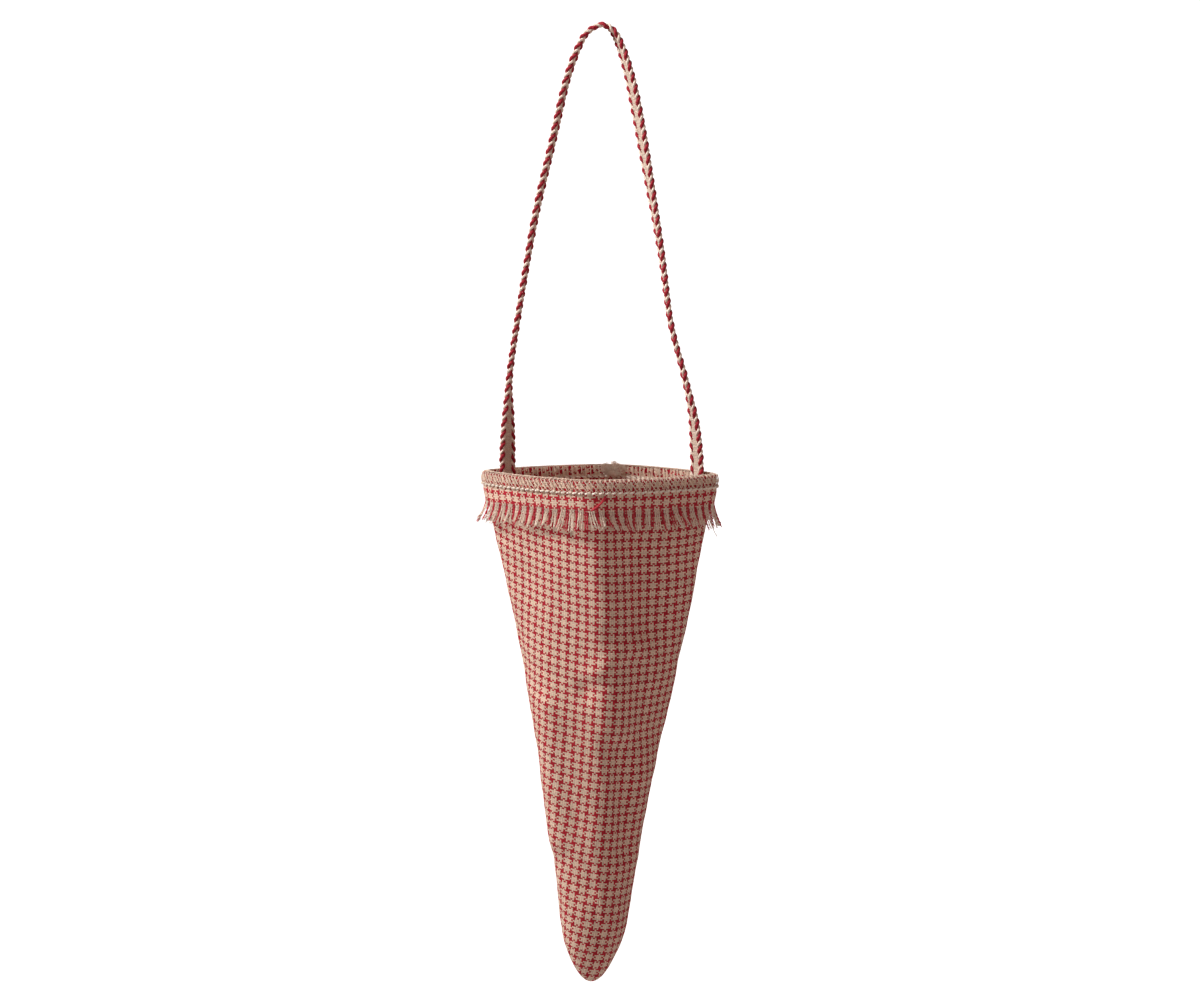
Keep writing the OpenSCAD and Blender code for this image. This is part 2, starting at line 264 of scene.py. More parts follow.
class NodeSheet:
    """Places and joins the nodes of one tree, a group or a material."""

    def __init__(self, tree: bpy.types.NodeTree) -> None:
        """Takes the tree to work in."""
        self.tree = tree

    def add(self, kind: str, **values: object) -> bpy.types.Node:
        """Adds a node.

        Args:
            kind: the node's type.
            values: its properties.

        Returns:
            The node.
        """
        node = self.tree.nodes.new(kind)
        for key, value in values.items():
            setattr(node, key, value)
        return node

    def plug(self, socket: bpy.types.NodeSocket, value: object) -> None:
        """Joins a socket to another, or sets its value.

        Args:
            socket: the input.
            value: an output to join it to, or a constant.
        """
        if isinstance(value, bpy.types.NodeSocket):
            self.tree.links.new(value, socket)
        else:
            socket.default_value = value

    def feed(self, node: bpy.types.Node, values: dict, output: int | str = 0) -> bpy.types.NodeSocket | None:
        """Feeds a node's inputs.

        Args:
            node: the node.
            values: outputs or constants, by the input's number or name.
            output: number or name of the output wanted.

        Returns:
            That output, or nothing where the node has none.
        """
        for key, value in values.items():
            self.plug(node.inputs[key], value)
        return node.outputs[output] if len(node.outputs) else None

    def math(self, operation: str, *values: object) -> bpy.types.NodeSocket:
        """The result of a Math node."""
        return self.feed(self.add("ShaderNodeMath", operation=operation), dict(enumerate(values)))

    def span(self, *values: object) -> bpy.types.NodeSocket:
        """A value mapped from one span (low, high) to another (low, high), and held at its ends."""
        return self.feed(self.add("ShaderNodeMapRange"), dict(enumerate(values)))

    def mix(self, share: object, a: object, b: object, blend: str = "MIX") -> bpy.types.NodeSocket:
        """Two colours mixed by a share."""
        node = self.add("ShaderNodeMix", data_type="RGBA", blend_type=blend)
        return self.feed(node, {0: share, 6: a, 7: b}, 2)

    def either(self, share: object, a: object, b: object) -> bpy.types.NodeSocket:
        """Two values mixed by a share."""
        return self.feed(self.add("ShaderNodeMix", data_type="FLOAT"), {0: share, 2: a, 3: b})

    def vector(self, x: object, y: object, z: object = 0.0) -> bpy.types.NodeSocket:
        """Three values joined into a vector."""
        return self.feed(self.add("ShaderNodeCombineXYZ"), {0: x, 1: y, 2: z})

    def noise(self, place: object, scale: float, detail: float = 2.0) -> bpy.types.NodeSocket:
        """Noise between 0 and 1 at a place."""
        return self.feed(self.add("ShaderNodeTexNoise"),
                         {"Vector": place, "Scale": scale, "Detail": detail}, "Fac")


def new_group(name: str, inputs: list[tuple[str, str, object]], outputs: list[tuple[str, str]]) -> tuple:
    """Starts a shader node group.

    Args:
        name: the group's name.
        inputs: name, socket type and default of each input.
        outputs: name and socket type of each output.

    Returns:
        The group, its sheet, its input sockets by name and its output node.
    """
    group = bpy.data.node_groups.new(name, "ShaderNodeTree")
    for title, kind, default in inputs:
        socket = group.interface.new_socket(title, in_out="INPUT", socket_type=kind)
        if default is not None:
            socket.default_value = default
    for title, kind in outputs:
        group.interface.new_socket(title, in_out="OUTPUT", socket_type=kind)
    sheet = NodeSheet(group)
    entry, leave = sheet.add("NodeGroupInput"), sheet.add("NodeGroupOutput")
    return group, sheet, {s.name: s for s in entry.outputs}, leave


def plain_weave_group() -> bpy.types.NodeTree:
    """Builds the plain weave of spun yarns, three natural and two red each way.

    Returns:
        A group that takes a place counted in yarns and gives colour, with painted shade in the gaps between
        yarns and painted light on their crowns, and height.
    """
    group, s, given, leave = new_group(
        "PlainWeave",
        [("Yarns", "NodeSocketVector", None), ("Red", "NodeSocketColor", (0.5, 0.02, 0.05, 1)),
         ("Natural", "NodeSocketColor", (0.7, 0.6, 0.45, 1)), ("Slub", "NodeSocketFloat", 0.25)],
        [("Color", "NodeSocketColor"), ("Height", "NodeSocketFloat")])
    split, shift = s.add("ShaderNodeSeparateXYZ"), s.add("ShaderNodeVectorMath", operation="ADD")
    s.feed(split, {0: given["Yarns"]})
    elsewhere = s.feed(shift, {0: given["Yarns"], 1: (31.7, 11.3, 5.0)})
    x, y = (s.math("ADD", axis, s.math("MULTIPLY", s.math("SUBTRACT", s.noise(place, 0.33), 0.5), given["Slub"]))
            for axis, place in ((split.outputs[0], given["Yarns"]), (split.outputs[1], elsewhere)))
    warp_no, weft_no = s.math("FLOOR", x), s.math("FLOOR", y)
    across_warp = s.math("SUBTRACT", s.math("SUBTRACT", x, warp_no), 0.5)
    across_weft = s.math("SUBTRACT", s.math("SUBTRACT", y, weft_no), 0.5)

    def yarn(no: object, across: object, along: object, sign: float, seed: float) -> tuple:
        """Builds the yarns of one direction.

        Args:
            no: the yarn's number.
            across: the place across it, from its middle.
            along: the place along it.
            sign: 1 where even yarns start on top, else -1.
            seed: picks its unevenness.

        Returns:
            The yarn's height, its red share and its lightness.
        """
        phase = s.math("MULTIPLY", s.math("ADD", s.math("SUBTRACT", along, 0.5), no), math.pi)
        under_over = s.math("MULTIPLY", s.math("COSINE", phase), 0.42 * sign)
        thin = s.span(s.noise(s.vector(s.math("MULTIPLY", along, 0.16), s.math("MULTIPLY", no, 3.1), seed), 1.0),
                      0.25, 0.75, 2.35, 1.85)
        side = s.math("MULTIPLY", across, thin)
        crown = s.math("SQRT", s.math("MAXIMUM", s.math("SUBTRACT", 1.0, s.math("MULTIPLY", side, side)), 0.0))
        winding = s.math("ADD", s.math("MULTIPLY", along, 1.6), s.math("MULTIPLY", across, 1.1))
        lines = s.math("SINE", s.math("MULTIPLY", winding, TURN))
        red = s.math("LESS_THAN", s.math("FLOORED_MODULO", no, 5.0), 1.5)
        height = s.math("ADD", s.math("ADD", s.math("MULTIPLY", crown, 0.7), under_over),
                        s.math("ADD", s.math("MULTIPLY", lines, 0.05), s.math("MULTIPLY", red, 0.15)))
        tone = s.feed(s.add("ShaderNodeTexWhiteNoise", noise_dimensions="2D"),
                      {"Vector": s.vector(no, seed)}, "Value")
        patch = s.vector(s.math("MULTIPLY", along, 0.5), s.math("MULTIPLY", no, 2.3), seed + 4.0)
        light = s.math("ADD", s.span(tone, 0.0, 1.0, -0.1, 0.1),
                       s.span(s.noise(patch, 1.0, 4.0), 0.2, 0.8, 0.82, 1.18))
        return height, red, light

    warp_height, warp_red, warp_light = yarn(warp_no, across_warp, y, 1.0, 1.0)
    weft_height, weft_red, weft_light = yarn(weft_no, across_weft, x, -1.0, 7.0)
    warp_on_top = s.math("GREATER_THAN", warp_height, weft_height)
    height = s.math("MAXIMUM", warp_height, weft_height)
    colour = s.mix(s.either(warp_on_top, weft_red, warp_red), given["Natural"], given["Red"])
    # painted shade and light: the colour darkens in the low gaps between yarns and brightens on their crowns, by
    # height, times each yarn's own random tone
    shade = s.math("MULTIPLY", s.span(height, -0.1, 0.8, 0.28, 1.12),
                   s.either(warp_on_top, weft_light, warp_light))
    s.feed(leave, {"Color": s.mix(1.0, colour, s.vector(shade, shade, shade), "MULTIPLY"), "Height": height})
    return group


def spun_yarn_group() -> bpy.types.NodeTree:
    """Builds the look of one spun yarn or thread: fibres wound round it, with painted shade between them.

    Returns:
        A group that takes millimetres along and the share round, and gives colour and height.
    """
    group, s, given, leave = new_group(
        "SpunYarn",
        [("Place", "NodeSocketVector", None), ("Base", "NodeSocketColor", (0.7, 0.6, 0.5, 1)),
         ("Pale", "NodeSocketColor", (0.8, 0.7, 0.6, 1)), ("Pitch", "NodeSocketFloat", 1.2),
         ("Depth", "NodeSocketFloat", 0.4)],
        [("Color", "NodeSocketColor"), ("Height", "NodeSocketFloat")])
    split = s.add("ShaderNodeSeparateXYZ")
    along, around = s.feed(split, {0: given["Place"]}), split.outputs[1]
    winding = s.math("ADD", s.math("DIVIDE", along, given["Pitch"]), s.math("MULTIPLY", around, 2.0))
    lines = s.math("SINE", s.math("MULTIPLY", winding, TURN))
    fibres = s.noise(s.vector(s.math("MULTIPLY", along, 1.3), s.math("MULTIPLY", winding, 4.0)), 1.5, 4.0)
    height = s.math("ADD", s.math("MULTIPLY", lines, 0.5), s.math("MULTIPLY", fibres, 0.8))
    tone = s.noise(s.add("ShaderNodeTexCoord").outputs["Object"], 900.0, 3.0)
    pale = s.math("MULTIPLY", s.span(tone, 0.35, 0.7, 0.0, 1.0), 0.8)
    colour = s.mix(pale, given["Base"], given["Pale"])
    # painted shade: the colour darkens in the low places between the wound fibres, by the given strength
    shade = s.math("SUBTRACT", 1.0, s.math("MULTIPLY", given["Depth"], s.span(height, -0.3, 0.8, 1.0, 0.0)))
    s.feed(leave, {"Color": s.mix(1.0, colour, s.vector(shade, shade, shade), "MULTIPLY"), "Height": height})
    return group


# ---------------------------------------------------------------- finishes


def cloth_shader(name: str, group: bpy.types.NodeTree, values: dict[str, object], place: str,
                 roughness: float, sheen: float, bump: float) -> bpy.types.Material:
    """Makes a cloth or yarn material from one of the node groups.

    Args:
        name: the material's name.
        group: the group that gives its colour and height.
        values: the group's own inputs.
        place: the group's input for the surface coordinates.
        roughness: roughness of the surface.
        sheen: weight of the soft sheen of its fibres.
        bump: height of the relief, in metres.

    Returns:
        The material.
    """
    material = bpy.data.materials.new(name)
    material.use_nodes = True
    sheet = NodeSheet(material.node_tree)
    uv, part = sheet.add("ShaderNodeUVMap", uv_map="cloth"), sheet.add("ShaderNodeGroup", node_tree=group)
    colour = sheet.feed(part, {place: uv.outputs[0], **values}, "Color")
    relief = sheet.feed(sheet.add("ShaderNodeBump"), {"Strength": 0.85, "Distance": bump,
                                                      "Height": part.outputs["Height"]})
    sheet.feed(material.node_tree.nodes["Principled BSDF"],
               {"Base Color": colour, "Normal": relief, "Roughness": roughness, "Specular IOR Level": 0.25,
                "Sheen Weight": sheen, "Sheen Roughness": 0.5})
    return material


@dataclass(frozen=True)
class YarnFinish:
    """A spun yarn or a sewing thread."""

    name: str
    base: tuple[float, float, float]
    pale: tuple[float, float, float]
    pitch: float = 1.2
    # depth: how strongly the painted shade darkens the colour between the fibres
    depth: float = 0.45
    roughness: float = 0.85
    sheen: float = 0.05
    bump: float = 0.00008

    def material(self, group: bpy.types.NodeTree) -> bpy.types.Material:
        """Makes the yarn's material from the spun yarn group."""
        values = {"Base": (*self.base, 1), "Pale": (*self.pale, 1), "Pitch": self.pitch, "Depth": self.depth}
        return cloth_shader(self.name, group, values, "Place", self.roughness, self.sheen, self.bump)


@dataclass(frozen=True)
class CheckFinish:
    """The checked cloth."""

    name: str = "checked_cloth"
    red: tuple[float, float, float] = (0.4, 0.013, 0.026)
    natural: tuple[float, float, float] = (0.735, 0.55, 0.42)
    slub: float = 0.45
    roughness: float = 0.9
    sheen: float = 0.03
    bump: float = 0.00022

    def material(self, group: bpy.types.NodeTree) -> bpy.types.Material:
        """Makes the cloth's material from the plain weave group."""
        values = {"Red": (*self.red, 1), "Natural": (*self.natural, 1), "Slub": self.slub}
        return cloth_shader(self.name, group, values, "Yarns", self.roughness, self.sheen, self.bump)


@dataclass
class Wardrobe:
    """All the finishes of the sack, made once."""

    cloth: bpy.types.Material = field(init=False)
    red: bpy.types.Material = field(init=False)
    natural: bpy.types.Material = field(init=False)
    overlock: bpy.types.Material = field(init=False)
    cream: bpy.types.Material = field(init=False)
    tape: bpy.types.Material = field(init=False)
    cord_red: bpy.types.Material = field(init=False)
    cord_natural: bpy.types.Material = field(init=False)

    def __post_init__(self) -> None:
        """Builds the node groups and every material."""
        yarn = spun_yarn_group()
        self.cloth = CheckFinish().material(plain_weave_group())
        self.red = YarnFinish("red_yarn", (0.62, 0.02, 0.045), (0.72, 0.09, 0.11),
                              depth=0.3, sheen=0.2).material(yarn)
        self.natural = YarnFinish("natural_yarn", (1.0, 0.81, 0.64), (1.0, 0.92, 0.79),
                                  depth=0.2, sheen=0.25).material(yarn)
        self.overlock = YarnFinish("overlock_thread", (0.96, 0.74, 0.58), (1.0, 0.86, 0.72),
                                   pitch=0.6, depth=0.2, sheen=0.15).material(yarn)
        self.cream = YarnFinish("cream_thread", (1.0, 0.88, 0.73), (1.0, 0.95, 0.85),
                                pitch=0.9, depth=0.1, roughness=0.6).material(yarn)
        self.tape = YarnFinish("braid_tape", (0.76, 0.58, 0.45), (0.96, 0.81, 0.67),
                               pitch=0.8, depth=0.5).material(yarn)
        self.cord_red = YarnFinish("braid_cord_red", (0.38, 0.006, 0.02), (0.56, 0.03, 0.055),
                                   pitch=0.9, roughness=0.7, sheen=0.1).material(yarn)
        self.cord_natural = YarnFinish("braid_cord_natural", (0.96, 0.79, 0.65), (1.0, 0.9, 0.78),
                                       pitch=0.9, depth=0.15, roughness=0.75).material(yarn)


def dress(obj: bpy.types.Object, material: bpy.types.Material,
          body: Body | None = Body.SACK) -> None:
    """Gives a piece its looks and its body.

    Args:
        obj: the piece.
        material: its material.
        body: the body it rides on, or None where it rides on no body.
    """
    obj.data.materials.append(material)
    if body is not None:
        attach(obj, body.value)


# ---------------------------------------------------------------- the sack's form


@dataclass(frozen=True)
class Fold:
    """A soft ridge or hollow in the wall, along a line between two places."""

    x0: float
    z0: float
    x1: float
    z1: float
    width: float
    height: float
    front: bool = True

    def lift(self, x: Array, z: Array) -> Array:
        """How far the fold lifts the wall, in millimetres.

        Args:
            x: places across, in millimetres.
            z: places up from the rim, in millimetres.

        Returns:
            The lift at each place.
        """
        dx, dz = self.x1 - self.x0, self.z1 - self.z0
        t = np.clip(((x - self.x0) * dx + (z - self.z0) * dz) / (dx * dx + dz * dz), 0.0, 1.0)
        gap = np.hypot(x - self.x0 - t * dx, z - self.z0 - t * dz)
        return 1.6 * self.height * np.exp(-0.5 * (gap / self.width) ** 2)


FRONT_FOLDS = (
    Fold(20, -18, 26, -64, 7.0, -2.4),
    Fold(3, -8, 9, -60, 5.0, 1.1),
    Fold(40, -20, 37, -70, 5.0, 0.8),
    Fold(19, -73, 4, -85, 3.6, 1.1),
    Fold(15, -80, -2, -92, 3.4, -1.0),
    Fold(8, -86, 9, -106, 6.0, 1.4),
    Fold(20, -84, 21, -112, 5.0, -1.3),
    Fold(13, -120, 14, -164, 3.6, -1.8),
    Fold(20, -132, 18, -166, 3.5, 0.9),
    Fold(-20, -100, -17, -160, 4.0, 1.1),
    Fold(-30, -40, -34, -84, 7.0, -0.9),
    Fold(-8, -112, -4, -150, 5.0, -0.6),
    Fold(-14, -170, -4, -182, 3.5, -0.7),
)
BACK_FOLDS = (
    Fold(-24, -30, -20, -90, 8.0, -2.0, False),
    Fold(22, -24, 19, -76, 8.0, -1.8, False),
    Fold(-10, -96, -4, -150, 4.5, 1.2, False),
    Fold(14, -90, 9, -140, 4.0, -1.2, False),
    Fold(-16, -140, -9, -176, 4.0, -1.0, False),
)


@dataclass
class SackForm:
    """The resting shape of the cone's wall, which every sewn piece follows.

    A place on it is the share round, from the back seam by the left side to the front at a half,
    and the share of the length down from the rim.
    """

    rim_z: float
    length: float
    half_width: float
    half_depth: float
    centre_y: float
    tip_x: float
    straight: float = 0.034
    tip_start: float = 0.86
    corner: float = 2.3 * MM
    twist: float = math.radians(34)
    grain: float = math.radians(-5.5)
    apex: float = 1.34
    warp: float = 0.85 * MM
    weft: float = 0.74 * MM
    rows: int = 260
    columns: int = 960
    spots: Array = field(init=False)
    outward: Array = field(init=False)
    shares: Array = field(init=False)
    girth: Array = field(init=False)

    @classmethod
    def from_frame(cls) -> "SackForm":
        """Takes the form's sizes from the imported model.

        Returns:
            The form.
        """
        low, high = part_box("cone_wall")
        return cls(rim_z=high.z, length=high.z - low.z, half_width=(high.x - low.x) / 2 + 0.6 * MM,
                   half_depth=(high.y - low.y) / 2, centre_y=(high.y + low.y) / 2, tip_x=-4.5 * MM)

    def __post_init__(self) -> None:
        """Lays out the table of places and outward directions."""
        body = np.linspace(0.0, self.tip_start, self.rows - 48)
        tip = self.tip_start + (1 - self.tip_start) * np.sin(np.linspace(0, math.pi / 2, 49))[1:]
        self.shares = np.concatenate([body, tip])
        ring = self._sections()
        step = np.gradient(np.concatenate([ring[:, -2:], ring, ring[:, :2]], axis=1), axis=1)[:, 2:-2]
        normal = unit(np.stack([step[..., 1], -step[..., 0]], axis=-1))
        x, z = ring[..., 0] / MM, np.broadcast_to(-self.shares[:, None] * self.length / MM, ring.shape[:2])
        lift = np.zeros_like(x)
        for fold in FRONT_FOLDS + BACK_FOLDS:
            facing = -normal[..., 1] if fold.front else normal[..., 1]
            lift += fold.lift(x, z) * smooth(-0.1, 0.45, facing)
        around = GIRTH * np.linspace(0, 1, self.columns, endpoint=False)[None, :] + 0 * x
        lift += 0.25 * wave_noise(around + 0.4 * z, 3, 46.0, 3)
        lift += 0.22 * wave_noise(z + 0.3 * around, 8, 38.0, 3)
        seam = np.minimum(around, GIRTH - around)
        lift -= np.exp(-0.5 * (seam / 1.1) ** 2) * (0.75 + 0.2 * np.sin(z * 1.9))
        calm = 0.25 + 0.75 * smooth(0.03, 0.13, self.shares)[:, None]
        fade = 1 - smooth(0.9, 0.995, self.shares)[:, None]
        ring = ring + normal * (lift * calm * fade * MM)[..., None]
        level = np.broadcast_to((self.rim_z - self.shares * self.length)[:, None], x.shape)
        place = np.concatenate([ring, level[..., None]], axis=-1)
        down = np.gradient(place, axis=0)
        across = np.gradient(np.concatenate([place[:, -2:], place, place[:, :2]], axis=1), axis=1)[:, 2:-2]
        out = np.cross(across, down)
        self.spots = place
        self.outward = unit(out) * np.sign(np.sum(out[..., :2] * normal, -1, keepdims=True) + 1e-9)
        self.outward[-1] = (0, 0, -1)
        steps = np.diff(np.concatenate([place, place[:, :1]], axis=1), axis=1)
        self.girth = np.sum(np.linalg.norm(steps, axis=-1), axis=1)

    def taper(self, t: Array) -> Array:
        """How the cone narrows.

        Args:
            t: shares of the length down.

        Returns:
            Half the width there, as a share of half the mouth.
        """
        u = np.maximum(0.0, t - self.straight)
        past = np.clip((t - self.tip_start) / (1 - self.tip_start), 0.0, 1.0)
        return (1 - 1.09 * u + 0.31 * u * u) * np.sqrt(np.maximum(0.0, 1 - past**2))

    def _sections(self) -> Array:
        """The wall's level sections, from a pointed oval at the mouth to a rounder one at the tip.

        Returns:
            Places evenly spaced round, (rows, columns, 2).
        """
        t = self.shares[:, None]
        past = np.clip((t - 0.09) / 0.91, 0, 1)
        past = 0.5 * smooth(0.0, 1.0, past) + 0.5 * past
        power = 1.5 + (1.12 - 1.5) * past
        share = self.half_depth / self.half_width
        depth = share + (0.86 - share) * past
        half = np.maximum(self.half_width * self.taper(t), 0.02 * MM)
        a = math.pi / 2 + TURN * np.linspace(0, 1, 1441)[None, :]
        ring = half[..., None] * np.stack([signed_power(np.cos(a), power),
                                           depth * signed_power(np.sin(a), power)], -1)
        run = run_along(ring)
        even = np.linspace(0, 1, self.columns, endpoint=False)
        out = np.empty((len(t), self.columns, 2))
        for i in range(len(t)):
            for k in (0, 1):
                out[i, :, k] = np.interp(even * run[i, -1], run[i], ring[i, :, k])
        waves = np.fft.fft(out[..., 0] + 1j * out[..., 1], axis=1)
        order = np.fft.fftfreq(self.columns, 1 / self.columns)[None, :]
        blur = np.minimum(self.corner * (1 + 1.2 * t) / run[:, -1:], 0.02 + 0.01 * smooth(0.1, 0.4, t))
        curve = np.fft.ifft(waves * np.exp(-0.5 * (TURN * order * blur) ** 2), axis=1)
        out = rotate_2d(np.stack([curve.real, curve.imag], axis=-1), self.twist * smooth(-0.15, 1.05, t))
        out = out * (1 + 0.032 * smooth(0.1, 0.35, t))[..., None]
        out[..., 0] += self.tip_x * t**2 + 1.0 * MM * smooth(0.1, 0.3, t)
        out[..., 1] += self.centre_y
        return out

    def sample(self, share: Array, t: Array, out: Array) -> Array:
        """Places over the wall.

        Args:
            share: shares round.
            t: shares of the length down.
            out: distances outward from the wall's outer face, in metres.

        Returns:
            The places, (..., 3).
        """
        share, t, out = np.broadcast_arrays(share, t, out)
        column = (share % 1.0) * self.columns
        c0 = np.floor(column).astype(int) % self.columns
        c1, fc = (c0 + 1) % self.columns, (column - np.floor(column))[..., None]
        row = np.interp(t, self.shares, np.arange(len(self.shares)))
        r0 = np.clip(np.floor(row).astype(int), 0, len(self.shares) - 2)
        fr = (row - r0)[..., None]

        place, normal = ((table[r0, c0] * (1 - fc) + table[r0, c1] * fc) * (1 - fr)
                         + (table[r0 + 1, c0] * (1 - fc) + table[r0 + 1, c1] * fc) * fr
                         for table in (self.spots, self.outward))
        return place + unit(normal) * out[..., None]

    def yarn_count(self, share: Array, t: Array) -> Array:
        """The cloth's own coordinates at a place of the cone.

        Args:
            share: shares round.
            t: shares of the length down.

        Returns:
            The numbers of warp and weft yarns up to there, (..., 2).
        """
        girth = np.interp(t, self.shares, self.girth)
        r = (self.apex - t) * self.length
        turn = (share - 0.5) * girth / r + self.grain
        start = self.apex * self.length
        return np.stack([r * np.sin(turn) / self.warp, (start - r * np.cos(turn)) / self.weft], axis=-1)


# ---------------------------------------------------------------- the cloth


@dataclass
class ConePanel:
    """The rolled cloth panel, closed along the back and at the tip."""

    form: SackForm
    wardrobe: Wardrobe
    thickness: float = 0.7 * MM
    ease: float = 1.02
    columns: int = 440
    outer_rows: int = 290
    inner_rows: int = 90

    def _rows(self, count: int, last: float) -> Array:
        """Shares down the length, closer together at the rounded tip.

        Args:
            count: how many.
            last: the last one.

        Returns:
            The shares.
        """
        start = self.form.tip_start
        body = np.linspace(0.0, start, int(count * start))
        tip = start + (last - start) * np.sin(np.linspace(0, math.pi / 2, count - len(body) + 1))[1:]
        return np.concatenate([body, tip])

    def build(self) -> bpy.types.Object:
        """Builds the panel as a closed shell of two faces.

        Returns:
            The panel.
        """
        share = np.linspace(0, 1, self.columns + 1)[None, :]
        verts, faces, uvs, rims, first = [], [], [], [], 0
        for rows, out, flip in ((self._rows(self.outer_rows, 0.9995), 0.0, False),
                                (self._rows(self.inner_rows, 0.985), -self.thickness, True)):
            place = self.form.sample(share[:, :-1], rows[:, None], out)
            uv = self.form.yarn_count(*np.broadcast_arrays(share, rows[:, None]))
            verts.append(place.reshape(-1, 3))
            faces.append(grid_faces(len(rows), self.columns, first, flip))
            uvs.append(grid_uv(uv, flip))
            tip = first + (len(rows) - 1) * self.columns + np.arange(self.columns)
            faces.append((tip if not flip else tip[::-1])[None, ::-1])
            uvs.append(np.broadcast_to(uv[-1, 0], (1, self.columns, 2)).copy())
            rims.append((first + np.arange(self.columns), uv[0]))
            first += place.shape[0] * place.shape[1]
        (outer, uv0), (inner, _) = rims
        nxt = np.roll(np.arange(self.columns), -1)
        faces.append(np.stack([outer, outer[nxt], inner[nxt], inner], axis=-1))
        uvs.append(np.stack([uv0[:-1], uv0[1:], uv0[1:] + (0, 0.8), uv0[:-1] + (0, 0.8)], axis=-2))
        obj = make_mesh("cone_panel", np.concatenate(verts), faces, uvs)
        dress(obj, self.wardrobe.cloth)
        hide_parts("cone_wall")
        return obj


@dataclass
class BackSeam:
    """The seam allowance inside the back, with the overlock thread on its cut edge."""

    form: SackForm
    wardrobe: Wardrobe
    width: float = 6.0 * MM
    thickness: float = 1.4 * MM
    top: float = 0.03
    end: float = 0.80
    wall: float = 0.85 * MM
    rows: int = 110
    stitch: float = 2.1 * MM

    def _spots(self, t: Array, across: Array, depth: Array) -> Array:
        """Places on the allowance, by share down, metres across and metres inward."""
        girth = np.interp(t, self.form.shares, self.form.girth)
        return self.form.sample(-across / girth, t, -self.wall - depth)

    def _allowance(self) -> bpy.types.Object:
        """Builds the two layers of cloth beside the seam.

        Returns:
            The seam allowance.
        """
        t = np.linspace(self.top, self.end, self.rows)[:, None]
        half = np.linspace(0.0, 1.0, 7)
        across = np.concatenate([half, half[::-1]])[None, :] * self.width
        lift = 0.4 * MM * wave_noise(t * 220, 21, 23.0, 3) ** 2
        depth = np.concatenate([np.zeros(7), np.full(7, self.thickness)])[None, :]
        place = self._spots(t, across, depth + lift * (across / self.width) ** 2)
        n = place.shape[1]
        turn = np.concatenate([across, across[:, :1]], axis=1)
        uv = np.stack([np.broadcast_to(turn / self.form.warp, (self.rows, n + 1)) + 2.0,
                       np.broadcast_to(t * self.form.length / self.form.weft, (self.rows, n + 1))], axis=-1)
        ends = np.stack([np.arange(n)[::-1], (self.rows - 1) * n + np.arange(n)])[:, ::-1]
        allowance = make_mesh("seam_allowance", place.reshape(-1, 3),
                              [grid_faces(self.rows, n, 0, False), ends],
                              [grid_uv(uv, False), np.zeros((2, n, 2))])
        dress(allowance, self.wardrobe.cloth)
        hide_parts("back_seam_allowance")
        return allowance

    def _overlock(self) -> bpy.types.Object:
        """Builds the thread over the allowance's cut edge.

        Returns:
            The thread's loops.
        """
        count = int((self.end - self.top) * self.form.length / self.stitch)
        along = np.linspace(self.top, self.end - 0.01, count)[:, None]
        k = np.linspace(0, TURN, 13)[None, :]
        reach = self.width * (0.62 + 0.42 * np.cos(k)) + 0.5 * MM * (np.cos(k) > 0.9)
        level = along + (0.5 - 0.5 * np.cos(k)) * 0.9 * self.stitch / self.form.length * np.sin(k / 2)
        loops = self._spots(level, reach, 0.7 * MM + 1.0 * MM * np.sin(k))
        overlock = make_tubes("seam_overlock", loops, np.full(loops.shape[:2], 0.2 * MM), 5)
        dress(overlock, self.wardrobe.overlock)
        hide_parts("back_seam_overlock")
        return overlock

    def build(self) -> list[bpy.types.Object]:
        """Builds the allowance and its overlock."""
        return [self._allowance(), self._overlock()]


